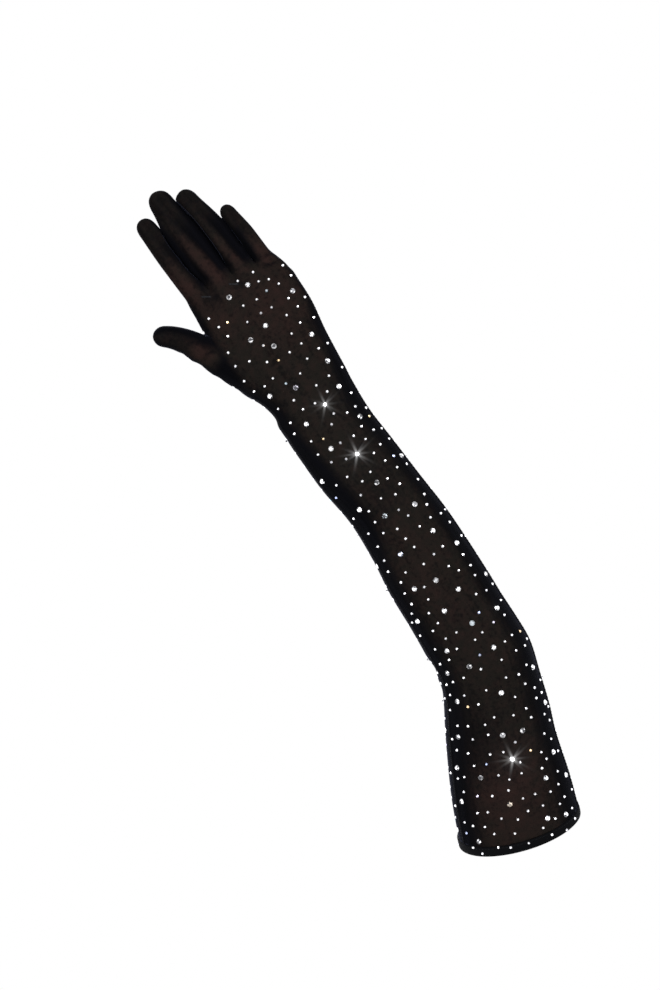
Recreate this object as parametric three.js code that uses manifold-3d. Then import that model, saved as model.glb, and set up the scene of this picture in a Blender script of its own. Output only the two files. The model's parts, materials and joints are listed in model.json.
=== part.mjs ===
// An opera-length left dress glove, in sheer black stretch mesh set with clear crystals, in the form that it
// has when it is filled: the palm and the upper sleeve stand upright and the sleeve leans away below its
// bend. Millimetres. The origin is the middle of the wrist, +Z runs up the palm to the fingertips, +X is the
// little finger's side, and the palm faces -Y. Angles round the sleeve are in degrees: 0 little finger
// side, 90 back, 180 thumb side, 270 palm side.
import * as THREE from 'three';
import { mergeVertices } from 'three/addons/utils/BufferGeometryUtils.js';
import Module from 'manifold-3d';

const wasm = await Module();
wasm.setup();
const { degToRad, lerp, smoothstep } = THREE.MathUtils;

// A table as one object for each row, with the named columns.
function rowsOf(columns, rows) {
  const names = columns.split(' ');
  return rows.map((row) => Object.fromEntries(names.map((name, i) => [name, row[i]])));
}

// Cloth
const WALL = 1;
const GAP = 0.3;
const HEM_WIDTH = 7;
const HEM_WALL = 1.9;
const HEM_EDGE_ROUND = 0.7;
const HEM_CROWN = 0.15;
const HEM_STITCH_SINK = 0.3;

// The two side seams, each a thin ridge over the line where the palm side and the back meet
const SEAM_THUMB_SIDE = 200;
const SEAM_LITTLE_SIDE = 348;
const SEAM_WIDTH = 1.6;
const SEAM_CREST_SHARE = 0.45;
const SEAM_RISE = 0.6;
const SEAM_TOP_ROOM = 8;
const SEAM_THUMB_TOP_Z = 21;
const SEAM_SHORTEST_STEP = 3;

// Crystals: flat back, a table, and a crown. They lie in rows round the sleeve, STONE_ROW_STEP apart,
// about STONE_STEP_ROUND apart in a row, each moved by up to STONE_SCATTER of a step. The rooms are the
// least distances from a crystal's middle to what is beside it.
const STONE_WIDTH = 4;
const STONE_HEIGHT = 1.5;
const STONE_GIRDLE = 0.25;
const STONE_TABLE_SHARE = 0.56;
const STONE_SIDES = 8;
const STONE_SINK = 0.4;
const STONE_ROW_STEP = 24;
const STONE_STEP_ROUND = 28;
const STONE_SCATTER = 0.3;
const STONE_ROOM = 13;
const STONE_THUMB_ROOM = 3.5;
const STONE_EDGE_ROOM = 4;
const FIRST_STONE_ROW = 16;
const STONE_ROWS_SHORT_OF_TOP = 22;
const LOOSE_STONE_REACH = 48;
const FUSED_STONE_SPACING = 29;

// Facets
const SIDES_PALM = 12;
const SIDES_BACK = 15;
const SIDES_FINGER = 12;
const SIDES_THUMB = 12;
const STATION_STEP = 17;
const ELBOW_STATION_STEP = 7;
const ELBOW_FROM_Z = -252;
const ELBOW_TO_Z = -190;
const GIRTH_STEPS = 120;

// Sections of the sleeve and hand from the cuff up. thumbX, thumbZ and littleX, littleZ are the outline on
// the thumb's and the little finger's side, middleY the middle's place front to back, palm and back the
// depth either way from it, dip the angle by which the palm side of the section hangs lower, and round how
// square it is: 2 is an ellipse.
const SECTIONS = rowsOf('thumbX thumbZ littleX littleZ middleY palm back dip round', [
  [-110.8, -330.5, -25.6, -361.5, 37.5, 41, 40, 17, 2],
  [-95.3, -299, -14, -331.6, 27.5, 39.5, 39, 17, 2],
  [-78.3, -270, -3.7, -300, 18, 38, 38, 16, 2],
  [-67, -252, 4.5, -280.6, 12, 37.5, 37, 14, 2],
  [-57.1, -237, 12.5, -257, 6.5, 37, 36, 10, 2],
  [-50.8, -225, 19.5, -236, 3, 37, 35.5, 6, 2],
  [-48, -214, 21.8, -217.6, 1, 36.5, 35, 2, 2],
  [-46.1, -197, 23.2, -198, 0, 36, 34, 0, 2],
  [-43.9, -179, 25, -179, 0, 35.5, 33, 0, 2],
  [-41, -150, 27.1, -150, 0, 34, 32, 0, 2],
  [-36.3, -124, 28.2, -124, 0, 32, 30.5, 0, 2],
  [-33.3, -93, 27.5, -93, 0, 29, 28, 0, 2.05],
  [-35.3, -62, 27.2, -62, 0, 27, 26, 0, 2.1],
  [-34.8, -35, 26.8, -35, 0, 24.5, 24, 0, 2.1],
  [-33.6, -11, 29.2, -11, 0, 21.5, 21.5, 0, 2.15],
  [-31.3, 0, 31, 0, 0, 20, 20, 0, 2.2],
  [-33.6, 14, 33, 14, 0, 19.5, 19, 0, 2.25],
  [-40, 30, 35.6, 30, 0, 18, 17.5, 0, 2.3],
  [-38, 52, 40.4, 52, 0, 16, 15.5, 0, 2.4],
  [-36.8, 72, 42, 72, 0, 14, 14, 0, 2.5],
  [-34.8, 86, 42.2, 86, 0, 12.6, 13, 0, 2.6],
  [-33.6, 99.5, 40.4, 99.5, 0, 11.6, 12, 0, 2.6],
]);

// Folds that run round the sleeve: z is the height on the middle line, around the middle of the fold,
// reach how far it runs either way in degrees, wide its half width up the sleeve, and rise its height,
// below 0 for a crease.
const FOLDS = rowsOf('z around reach wide rise', [
  [-214, 140, 65, 5, -2.4],
  [-203, 135, 60, 5, 1.4],
  [-226, 145, 60, 6, 1.5],
  [-238, 140, 50, 5, -1.2],
  [-6, 190, 60, 4, 0.7],
  [-17, 215, 60, 5, -0.8],
]);

// Soft swellings under the cloth: x and z their middle, reachX and reachZ their size, side 1 for the back
// and -1 for the palm side.
const SWELLINGS = rowsOf('x z reachX reachZ rise side', [
  [-20, 42, 15, 26, 4, -1],
  [24, 34, 14, 30, 2.5, -1],
  [3, 90, 34, 9, 1.2, -1],
  [22, -8, 9, 10, 2.5, 1],
  [6, -236, 20, 24, 3, -1],
]);

// Finger stalls. left and right bound the base, midX and half give the middle and half width along the
// stall, tipX and tipZ the tip, curl how far the tip leans to the palm side, and deep the half depth.
const FINGERS = rowsOf('name left right midX half tipX tipZ curl deep', [
  ['finger_index', -33.6, -14.15, -23, 8.7, -22.6, 171, 5, 7.8],
  ['finger_middle', -13.85, 6.6, -3.9, 9.9, -4.8, 181, 8, 8.2],
  ['finger_ring', 6.9, 24.1, 15.2, 8.7, 12.4, 170, 7, 7.8],
  ['finger_little', 24.4, 40.4, 31.3, 6.8, 31, 144, 4, 6.6],
]);
const FINGER_TIP_TAPER = 0.88;
const FINGER_TAPER_FROM = 0.35;
const FINGER_LEAN_FROM = 0.3;
const FINGER_BASE_SHARE = 0.2;
const FINGER_BASE_SQUARE = 5;
const FINGER_ROUND = 2.2;
const FINGER_CAP_SHARE = 0.8;
const FINGER_STATIONS = [0, 0.07, 0.17, 0.4, 0.62, 0.8];
const TIP_ANGLES = [0, 33, 62];

// The thumb stall from inside the hand to its tip: half is the half width across the palm's plane, deep
// the other way.
const THUMB = rowsOf('x y z half deep', [
  [-24, -3, 31, 13.5, 9.5],
  [-30, -4.5, 43.5, 14.3, 10.8],
  [-36.8, -7, 57, 12.6, 10.4],
  [-43.5, -11, 71, 10.6, 9.2],
  [-50.5, -17, 83.5, 9, 8.3],
  [-57, -23, 91.3, 8, 7.6],
  [-65.6, -29, 97.8, 7, 6.8],
]);
const THUMB_FOLDS = rowsOf('at wide rise', [
  [24, 2.5, -0.7],
  [31, 3, 0.5],
  [41, 2.5, -0.6],
  [48, 3, 0.5],
  [57, 2.5, -0.5],
]);
const THUMB_STEP = 7;
const THUMB_CAP = 7.5;

// Crystals with places of their own on the palm side, the brightest ones
const PLACED_STONES = [
  { x: 2.8, z: -14.3 },
  { x: 0.1, z: -56.3 },
  { x: -42.2, z: -296.4 },
];

// Adds up the length of the middle line to each row, as its along.
function withLength(rows) {
  let along = 0;
  return rows.map((row, i) => {
    if (i > 0) along += row.middle.distanceTo(rows[i - 1].middle);
    return { ...row, along };
  });
}

const sleeveRows = withLength(SECTIONS.map((row) => {
  const middleX = (row.thumbX + row.littleX) / 2;
  const middleZ = (row.thumbZ + row.littleZ) / 2;
  const middle = new THREE.Vector3(middleX, row.middleY, middleZ);
  const width = row.littleX - row.thumbX;
  const drop = row.thumbZ - row.littleZ;
  return {
    middle,
    x: middle.x,
    y: middle.y,
    z: middle.z,
    half: Math.hypot(width, drop) / 2,
    tilt: Math.atan2(drop, width),
    dip: degToRad(row.dip),
    palm: row.palm,
    back: row.back,
    round: row.round,
  };
}));
const thumbRows = withLength(THUMB.map((row) => {
  const middle = new THREE.Vector3(row.x, row.y, row.z);
  return { ...row, middle };
}));

const SLEEVE_LENGTH = sleeveRows.at(-1).along;
const THUMB_LENGTH = thumbRows.at(-1).along;
const TOP = sleeveRows.at(-1);

// The line of the finger bases: a shallow arch, highest at KNUCKLE_X, and the length of hand that rises to
// it
const KNUCKLE_X = -9;
const KNUCKLE_Z = 99.6;
const KNUCKLE_ARCH = 0.0048;
const KNUCKLE_BLEND = 32;

// The value of one column at a distance along, on a smooth curve through the rows.
function valueAt(rows, column, along) {
  const last = rows.length - 1;
  let i = 0;
  while (i < last - 1 && rows[i + 1].along < along) i += 1;
  const slope = (k) => {
    const before = rows[Math.max(k - 1, 0)];
    const after = rows[Math.min(k + 1, last)];
    return (after[column] - before[column]) / (after.along - before.along);
  };
  const span = rows[i + 1].along - rows[i].along;
  const t = (along - rows[i].along) / span;
  const t2 = t * t;
  const t3 = t2 * t;
  return (2 * t3 - 3 * t2 + 1) * rows[i][column]
    + (t3 - 2 * t2 + t) * span * slope(i)
    + (3 * t2 - 2 * t3) * rows[i + 1][column]
    + (t3 - t2) * span * slope(i + 1);
}

// The sleeve's middle line reaches the height z at this distance along.
function alongAtHeight(z) {
  let low = 0;
  let high = SLEEVE_LENGTH;
  for (let step = 0; step < 30; step += 1) {
    const mid = (low + high) / 2;
    if (valueAt(sleeveRows, 'z', mid) < z) low = mid;
    else high = mid;
  }
  return (low + high) / 2;
}

const folds = FOLDS.map((fold) => ({ ...fold, at: alongAtHeight(fold.z) }));

// The height of the line where the finger stalls begin.
function knuckleLine(x) {
  return KNUCKLE_Z - KNUCKLE_ARCH * (x - KNUCKLE_X) ** 2;
}

// A soft bump of height 1 at 0 that dies out past a width of 1.
function bump(off) {
  return Math.exp(-(off ** 2));
}

function power(value, round) {
  return Math.sign(value) * Math.abs(value) ** (2 / round);
}

function angleBetween(a, b) {
  const turn = Math.abs(a - b) % 360;
  return Math.min(turn, 360 - turn);
}

// How far folds and swellings push the cloth out at a place.
function relief(along, degrees, x, z) {
  let rise = 0;
  for (const fold of folds) {
    const off = angleBetween(degrees, fold.around) / fold.reach;
    const around = Math.cos((Math.min(off, 1) * Math.PI) / 2) ** 2;
    rise += fold.rise * around * bump((along - fold.at) / fold.wide);
  }
  for (const swelling of SWELLINGS) {
    const share = Math.max(0, swelling.side * Math.sin(degToRad(degrees)));
    rise += swelling.rise * share
      * bump((x - swelling.x) / swelling.reachX)
      * bump((z - swelling.z) / swelling.reachZ);
  }
  return rise;
}

// A point of the sleeve and hand, out from its outer face by a distance.
function sleevePoint(along, degrees, out = 0) {
  const column = (name) => valueAt(sleeveRows, name, along);
  const tilt = column('tilt');
  const dip = column('dip');
  const across = new THREE.Vector3(Math.cos(tilt), 0, -Math.sin(tilt));
  const up = new THREE.Vector3(Math.sin(tilt), 0, Math.cos(tilt));
  const through = new THREE.Vector3(0, Math.cos(dip), 0).addScaledVector(up, Math.sin(dip));
  const cosine = Math.cos(degToRad(degrees));
  const sine = Math.sin(degToRad(degrees));
  const round = column('round');
  const place = (rise) => new THREE.Vector3(column('x'), column('y'), column('z'))
    .addScaledVector(across, power(cosine, round) * (column('half') + rise))
    .addScaledVector(through, power(sine, round) * (column(sine > 0 ? 'back' : 'palm') + rise));
  const plain = place(0);
  const point = place(out + relief(along, degrees, plain.x, plain.z));
  const share = smoothstep(along, SLEEVE_LENGTH - KNUCKLE_BLEND, SLEEVE_LENGTH);
  point.z += (knuckleLine(point.x) - TOP.z) * share;
  return point;
}

// Distances along at which the sleeve has a section: closer round the elbow.
function stationsBetween(from, to) {
  const stops = [from];
  const bends = [alongAtHeight(ELBOW_FROM_Z), alongAtHeight(ELBOW_TO_Z)];
  while (stops.at(-1) < to) {
    const last = stops.at(-1);
    const inBend = last > bends[0] - 1 && last < bends[1];
    const step = inBend ? ELBOW_STATION_STEP : STATION_STEP;
    const next = last < bends[0] - 1 ? Math.min(last + step, bends[0]) : last + step;
    stops.push(to - next < step / 2 ? to : next);
  }
  return stops;
}

const PANEL_STATIONS = stationsBetween(HEM_WIDTH + GAP, SLEEVE_LENGTH - GAP);

// Angles from one seam to the other, each end held back from the seam by half the gap.
function panelAngles(along, from, to, sides) {
  const middle = sleevePoint(along, from);
  const perDegree = middle.distanceTo(sleevePoint(along, from + 1));
  const perDegreeEnd = sleevePoint(along, to).distanceTo(sleevePoint(along, to - 1));
  const start = from + GAP / 2 / perDegree;
  const end = to - GAP / 2 / perDegreeEnd;
  return Array.from({ length: sides + 1 }, (_, i) => lerp(start, end, i / sides));
}

const SPANS = {
  palm: { from: SEAM_THUMB_SIDE, to: SEAM_LITTLE_SIDE, sides: SIDES_PALM },
  back: { from: SEAM_LITTLE_SIDE - 360, to: SEAM_THUMB_SIDE, sides: SIDES_BACK },
};

function spanAngles(along, span) {
  return panelAngles(along, span.from, span.to, span.sides);
}

// A closed geometry from points and faces, with its faces turned outwards.
function geometryOf(points, triangles) {
  const corner = (index) => points[index];
  let volume = 0;
  for (const [a, b, c] of triangles) {
    volume += corner(a).dot(new THREE.Vector3().crossVectors(corner(b), corner(c)));
  }
  const turned = volume < 0 ? triangles.map(([a, b, c]) => [a, c, b]) : triangles;
  const geometry = new THREE.BufferGeometry();
  const coordinates = points.flatMap((point) => point.toArray());
  geometry.setAttribute('position', new THREE.Float32BufferAttribute(coordinates, 3));
  geometry.setIndex(turned.flat());
  return geometry;
}

// Joins equal closed loops one after another. Ends are left open, met by a point each, covered by a strip
// between the loop's two halves, or joined to each other.
function loft(loops, { start = 'open', end = 'open', ring = false } = {}) {
  const size = loops[0].length;
  const points = loops.flat();
  const triangles = [];
  const quad = (a, b, c, d) => triangles.push([a, b, c], [a, c, d]);
  const joints = ring ? loops.length : loops.length - 1;
  for (let i = 0; i < joints; i += 1) {
    const next = (i + 1) % loops.length;
    for (let j = 0; j < size; j += 1) {
      const k = (j + 1) % size;
      quad(i * size + j, i * size + k, next * size + k, next * size + j);
    }
  }
  const cover = (first, kind, flip) => {
    const add = (a, b, c) => triangles.push(flip ? [a, c, b] : [a, b, c]);
    if (kind === 'strip') {
      for (let j = 0; j < size / 2 - 1; j += 1) {
        const opposite = size - 1 - j;
        add(first + j, first + opposite, first + opposite - 1);
        add(first + j, first + opposite - 1, first + j + 1);
      }
    }
    if (kind instanceof THREE.Vector3) {
      points.push(kind);
      for (let j = 0; j < size; j += 1) add(first + j, points.length - 1, first + (j + 1) % size);
    }
  };
  cover(0, start, false);
  cover((loops.length - 1) * size, end, true);
  return geometryOf(points, triangles);
}

function middleOf(loop) {
  return loop.reduce((sum, point) => sum.add(point), new THREE.Vector3()).divideScalar(loop.length);
}

function closedLoft(loops) {
  return loft(loops, { start: middleOf(loops[0]), end: middleOf(loops.at(-1)) });
}

function solidOf(geometry) {
  const plain = geometry.clone();
  plain.deleteAttribute('normal');
  plain.deleteAttribute('uv');
  const merged = mergeVertices(plain, 1e-4);
  return new wasm.Manifold(new wasm.Mesh({
    numProp: 3,
    vertProperties: new Float32Array(merged.attributes.position.array),
    triVerts: new Uint32Array(merged.index.array),
  }));
}

function geometryFromSolid(solid) {
  const mesh = solid.getMesh();
  const geometry = new THREE.BufferGeometry();
  geometry.setAttribute('position', new THREE.BufferAttribute(new Float32Array(mesh.vertProperties), 3));
  geometry.setIndex(new THREE.BufferAttribute(new Uint32Array(mesh.triVerts), 1));
  return geometry;
}

// One side of the sleeve and hand: a strip of cloth from seam to seam, out and back round its two faces.
function panelGeometry(span) {
  const loops = PANEL_STATIONS.map((along) => {
    const angles = spanAngles(along, span);
    const outer = angles.map((angle) => sleevePoint(along, angle));
    const inner = angles.map((angle) => sleevePoint(along, angle, -WALL));
    return [...outer, ...inner.reverse()];
  });
  return loft(loops, { start: 'strip', end: 'strip' });
}

// The whole hand as one closed form, grown by a gap, to part the thumb from it.
function handForm(out) {
  const stations = PANEL_STATIONS.filter((along) => along > alongAtHeight(-20));
  return closedLoft(stations.map((along) => [
    ...spanAngles(along, SPANS.palm).map((angle) => sleevePoint(along, angle, out)),
    ...spanAngles(along, SPANS.back).map((angle) => sleevePoint(along, angle, out)),
  ]));
}

// A thin ridge over a side seam, between two distances along.
function seamGeometry(degrees, from, to) {
  const isBetween = (along) => along > from + SEAM_SHORTEST_STEP && along < to - SEAM_SHORTEST_STEP;
  const stations = [from, ...PANEL_STATIONS.filter(isBetween), to];
  const loops = stations.map((along) => {
    const perDegree = sleevePoint(along, degrees).distanceTo(sleevePoint(along, degrees + 1));
    const foot = SEAM_WIDTH / 2 / perDegree;
    const crest = foot * SEAM_CREST_SHARE;
    return [
      sleevePoint(along, degrees - foot, GAP),
      sleevePoint(along, degrees + foot, GAP),
      sleevePoint(along, degrees + crest, GAP + SEAM_RISE),
      sleevePoint(along, degrees - crest, GAP + SEAM_RISE),
    ];
  });
  return closedLoft(loops);
}

// The doubled band round the open end of the sleeve: rounded at the edge, flush with the sleeve's inside.
function hemGeometry() {
  const outer = HEM_WALL - WALL;
  const profile = rowsOf('along out', [
    [HEM_EDGE_ROUND, outer],
    [HEM_WIDTH / 2, outer + HEM_CROWN],
    [HEM_WIDTH, outer - HEM_STITCH_SINK],
    [HEM_WIDTH, -WALL],
    [HEM_EDGE_ROUND, -WALL],
    [0, (outer - WALL) / 2],
  ]);
  const sides = SIDES_PALM + SIDES_BACK;
  const loops = Array.from({ length: sides }, (_, i) => profile.map(
    ({ along, out }) => sleevePoint(along, (i * 360) / sides, out),
  ));
  return loft(loops, { ring: true });
}

// How deep the hand's upper rim is at x, from its middle to the palm side or the back.
function rimDepth(x, sine, out) {
  const share = Math.min(1, Math.abs(x - TOP.x) / (TOP.half + out));
  const depth = (sine > 0 ? TOP.back : TOP.palm) + out;
  return depth * (1 - share ** TOP.round) ** (1 / TOP.round);
}

// One section of a finger stall: at the base it fills its share of the hand's rim, above it is a rounded
// tube.
function fingerRing(finger, share, shrink, out) {
  const baseMiddle = (finger.left + finger.right) / 2;
  const baseHalf = (finger.right - finger.left) / 2 + out;
  const taper = lerp(1, FINGER_TIP_TAPER, smoothstep(share, FINGER_TAPER_FROM, 1));
  const middleX = lerp(finger.midX, finger.tipX, smoothstep(share, FINGER_LEAN_FROM, 1));
  const leanY = -finger.curl * share * share;
  const half = (finger.half * taper + out) * shrink;
  const deep = (finger.deep * taper + out) * shrink;
  const top = finger.tipZ + out;
  return Array.from({ length: SIDES_FINGER }, (_, i) => {
    const cosine = Math.cos((i * 2 * Math.PI) / SIDES_FINGER);
    const sine = Math.sin((i * 2 * Math.PI) / SIDES_FINGER);
    const outerSide = cosine < 0 ? finger.left === FINGERS[0].left : finger.right === FINGERS.at(-1).right;
    const baseX = baseMiddle + (outerSide ? cosine : power(cosine, FINGER_BASE_SQUARE)) * baseHalf;
    const isOnMiddle = Math.abs(sine) < 1e-6;
    const outerEdge = isOnMiddle ? 0 : Math.sign(sine);
    const edge = outerSide ? outerEdge : power(sine, FINGER_BASE_SQUARE);
    const base = new THREE.Vector3(baseX, edge * rimDepth(baseX, sine, out), 0);
    const tube = new THREE.Vector3(
      middleX + power(cosine, FINGER_ROUND) * half,
      leanY + power(sine, FINGER_ROUND) * deep,
      0,
    );
    const point = base.lerp(tube, smoothstep(share, 0, FINGER_BASE_SHARE));
    point.z = lerp(knuckleLine(point.x), top, share);
    return point;
  });
}

// The share along a stall at which each section of its rounded tip lies.
function tipShares(finger) {
  const length = finger.tipZ - knuckleLine(finger.midX);
  const tipShare = (finger.half * FINGER_TIP_TAPER * FINGER_CAP_SHARE) / length;
  return TIP_ANGLES.map((angle) => 1 - tipShare * (1 - Math.sin(degToRad(angle))));
}

function fingerSkin(finger, out) {
  const straight = FINGER_STATIONS.map((share) => fingerRing(finger, share, 1, out));
  const tip = tipShares(finger).map((share, i) => {
    const shrink = Math.cos(degToRad(TIP_ANGLES[i]));
    return fingerRing(finger, share, shrink, out);
  });
  const point = new THREE.Vector3(finger.tipX, -finger.curl, finger.tipZ + out);
  return { loops: [...straight, ...tip], point };
}

// A stall closed at its tip: the outer face up to the tip's point, the inner face inside it, and a rim at
// the base.
function stallGeometry(outer, inner) {
  const outside = loft(outer.loops, { end: outer.point });
  const inside = loft(inner.loops, { end: inner.point });
  const size = outer.loops[0].length;
  const pointsOf = (geometry) => {
    const position = geometry.getAttribute('position');
    const pointAt = (_, i) => new THREE.Vector3().fromBufferAttribute(position, i);
    return Array.from({ length: position.count }, pointAt);
  };
  const trianglesOf = (geometry, shift, flip) => {
    const index = Array.from(geometry.index.array);
    const triangles = [];
    for (let i = 0; i < index.length; i += 3) {
      const [a, b, c] = index.slice(i, i + 3).map((value) => value + shift);
      triangles.push(flip ? [a, c, b] : [a, b, c]);
    }
    return triangles;
  };
  const shift = pointsOf(outside).length;
  const rim = [];
  const outward = trianglesOf(outside, 0, false);
  const forward = outward.some(([a, b, c]) => (a === 0 && b === 1) || (b === 0 && c === 1));
  for (let j = 0; j < size; j += 1) {
    const k = (j + 1) % size;
    const strip = [[j, k, shift + k], [j, shift + k, shift + j]];
    rim.push(...(forward ? strip.map(([a, b, c]) => [a, c, b]) : strip));
  }
  const points = [...pointsOf(outside), ...pointsOf(inside)];
  return geometryOf(points, [...outward, ...trianglesOf(inside, shift, true), ...rim]);
}

function fingerGeometry(finger) {
  return stallGeometry(fingerSkin(finger, 0), fingerSkin(finger, -WALL));
}

// One section of the thumb stall, square to its middle line.
function thumbRing(along, shrink, out) {
  const at = (distance) => new THREE.Vector3(
    valueAt(thumbRows, 'x', distance),
    valueAt(thumbRows, 'y', distance),
    valueAt(thumbRows, 'z', distance),
  );
  const middle = at(along);
  const direction = at(Math.min(along + 1, THUMB_LENGTH)).sub(at(Math.max(along - 1, 0))).normalize();
  const across = new THREE.Vector3(0, -1, 0).cross(direction).normalize();
  const through = new THREE.Vector3().crossVectors(direction, across).normalize();
  const creases = THUMB_FOLDS.map((fold) => fold.rise * bump((along - fold.at) / fold.wide));
  const crease = creases.reduce((sum, each) => sum + each, 0);
  return Array.from({ length: SIDES_THUMB }, (_, i) => {
    const cosine = Math.cos((i * 2 * Math.PI) / SIDES_THUMB);
    const sine = Math.sin((i * 2 * Math.PI) / SIDES_THUMB);
    const rise = crease * Math.max(0, cosine) + out;
    return middle.clone()
      .addScaledVector(across, cosine * (valueAt(thumbRows, 'half', along) + rise) * shrink)
      .addScaledVector(through, sine * (valueAt(thumbRows, 'deep', along) + rise) * shrink);
  });
}

// The thumb as a closed form, its face moved out by a distance.
function thumbForm(out) {
  const straight = [];
  for (let along = 0; along < THUMB_LENGTH - THUMB_CAP - THUMB_STEP / 2; along += THUMB_STEP) {
    straight.push(thumbRing(along, 1, out));
  }
  const tip = TIP_ANGLES.map((angle) => {
    const reach = THUMB_LENGTH - (THUMB_CAP + out) * (1 - Math.sin(degToRad(angle))) + out;
    return thumbRing(reach - Math.max(0, out), Math.cos(degToRad(angle)), out);
  });
  const end = middleOf(thumbRing(THUMB_LENGTH + Math.min(out, 0), 1, 0));
  const loops = [...straight, ...tip];
  return loft(loops, { start: middleOf(loops[0]), end });
}

// A number from -1 to 1 that looks random but is the same each time for a row, a place in it and a use.
function scatter(row, place, use) {
  const value = Math.sin(row * 402.6 + place * 91.3 + use * 12.9) * 43758.5;
  return 2 * (value - Math.floor(value)) - 1;
}

// The length round the sleeve up to each of many equal angles. The last is its girth.
function lengthsRound(along) {
  const lengths = [0];
  let before = sleevePoint(along, 0);
  for (let i = 1; i <= GIRTH_STEPS; i += 1) {
    const point = sleevePoint(along, (i * 360) / GIRTH_STEPS);
    lengths.push(lengths.at(-1) + point.distanceTo(before));
    before = point;
  }
  return lengths;
}

// Equal steps round the sleeve, as angles that allow for its flattened section.
function anglesRound(along, count, offset) {
  const lengths = lengthsRound(along);
  return Array.from({ length: count }, (_, k) => {
    const target = (((k + offset(k)) / count + 1) % 1) * lengths.at(-1);
    const i = lengths.findIndex((length) => length >= target);
    const before = lengths[Math.max(i - 1, 0)];
    const part = i > 0 ? (target - before) / (lengths[i] - before) : 0;
    return ((Math.max(i - 1, 0) + part) * 360) / GIRTH_STEPS;
  });
}

// Places of the large crystals over the whole sleeve and hand: rows with every other row set over by half
// a step, each crystal moved off its place a little.
function stonePlaces() {
  const places = PLACED_STONES.map((stone) => nearestPlace(stone));
  const rows = Math.floor((SLEEVE_LENGTH - STONE_ROWS_SHORT_OF_TOP) / STONE_ROW_STEP);
  for (let row = 0; row <= rows; row += 1) {
    const base = FIRST_STONE_ROW + row * STONE_ROW_STEP;
    const count = Math.round(lengthsRound(base).at(-1) / STONE_STEP_ROUND);
    const shift = (k) => (row % 2) / 2 + STONE_SCATTER * scatter(row, k, 1);
    anglesRound(base, count, shift).forEach((degrees, k) => {
      const along = base + STONE_ROW_STEP * STONE_SCATTER * scatter(row, k, 2);
      const point = sleevePoint(along, degrees);
      const clear = places.every((place) => place.point.distanceTo(point) > STONE_ROOM);
      if (clear && isClearOfEdges(along, degrees, point)) places.push({ along, degrees, point });
    });
  }
  return places;
}

// The place on the palm side that lies at x and z seen from the front.
function nearestPlace({ x, z }) {
  let best = { off: Infinity };
  for (let degrees = 210; degrees <= 330; degrees += 1) {
    for (let along = HEM_WIDTH; along < SLEEVE_LENGTH; along += 1) {
      const point = sleevePoint(along, degrees);
      const off = Math.hypot(point.x - x, point.z - z);
      if (off < best.off) best = { along, degrees, point, off };
    }
  }
  return best;
}

// True where a crystal doesn't reach a seam ridge, the rim, the hem or the thumb.
function isClearOfEdges(along, degrees, point) {
  const room = STONE_WIDTH / 2 + SEAM_WIDTH / 2 + 1;
  const seams = [SEAM_THUMB_SIDE, SEAM_LITTLE_SIDE];
  const toSeam = seams.map((seam) => point.distanceTo(sleevePoint(along, seam)));
  const toThumb = thumbRows.map((row) => point.distanceTo(row.middle) - row.half);
  const rim = knuckleLine(point.x) - point.z;
  return Math.min(...toSeam) > room
    && Math.min(...toThumb) > STONE_THUMB_ROOM
    && rim > STONE_EDGE_ROOM
    && along > HEM_WIDTH + STONE_EDGE_ROOM;
}

// The facet of the cloth under a place: a point on it and the way it faces.
function facetAt(along, degrees) {
  const turn = degrees > SEAM_LITTLE_SIDE ? degrees - 360 : degrees;
  const span = turn >= SEAM_THUMB_SIDE ? SPANS.palm : SPANS.back;
  let i = 0;
  while (i < PANEL_STATIONS.length - 2 && PANEL_STATIONS[i + 1] < along) i += 1;
  const low = spanAngles(PANEL_STATIONS[i], span);
  const high = spanAngles(PANEL_STATIONS[i + 1], span);
  let j = 0;
  while (j < span.sides - 1 && low[j + 1] < turn) j += 1;
  const v = (along - PANEL_STATIONS[i]) / (PANEL_STATIONS[i + 1] - PANEL_STATIONS[i]);
  const u = (turn - low[j]) / (low[j + 1] - low[j]);
  const a = sleevePoint(PANEL_STATIONS[i], low[j]);
  const b = sleevePoint(PANEL_STATIONS[i], low[j + 1]);
  const c = sleevePoint(PANEL_STATIONS[i + 1], high[j + 1]);
  const d = sleevePoint(PANEL_STATIONS[i + 1], high[j]);
  const point = a.clone().multiplyScalar((1 - u) * (1 - v))
    .addScaledVector(b, u * (1 - v))
    .addScaledVector(c, u * v)
    .addScaledVector(d, (1 - u) * v);
  const facing = new THREE.Vector3().crossVectors(c.clone().sub(a), d.clone().sub(b)).normalize();
  const outward = point.clone().sub(sleevePoint(along, degrees, -WALL));
  if (facing.dot(outward) < 0) facing.negate();
  return { point, facing };
}

// A crystal standing on z = 0: a flat back, a low girdle if it has one, crown facets and a table. With the
// table turned by half a side the crown has sixteen triangular facets, otherwise eight plain ones.
function stoneGeometry({ girdle, tableTurn }) {
  const half = STONE_WIDTH / 2;
  const ring = (radius, height, turn) => Array.from({ length: STONE_SIDES }, (_, i) => {
    const angle = ((i + turn) * 2 * Math.PI) / STONE_SIDES;
    return new THREE.Vector3(Math.cos(angle) * radius, Math.sin(angle) * radius, height);
  });
  const points = [...ring(half, 0, 0)];
  if (girdle > 0) points.push(...ring(half, girdle, 0));
  points.push(...ring(half * STONE_TABLE_SHARE, STONE_HEIGHT, tableTurn));
  const triangles = [];
  const crown = points.length - 2 * STONE_SIDES;
  const table = points.length - STONE_SIDES;
  for (let i = 0; i < STONE_SIDES; i += 1) {
    const next = (i + 1) % STONE_SIDES;
    if (girdle > 0) {
      triangles.push([i, next, crown + next], [i, crown + next, crown + i]);
    }
    triangles.push([crown + i, crown + next, table + i], [crown + next, table + next, table + i]);
    if (i > 0 && i < STONE_SIDES - 1) {
      triangles.push([0, i + 1, i], [table, table + i, table + i + 1]);
    }
  }
  return geometryOf(points, triangles);
}

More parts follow.
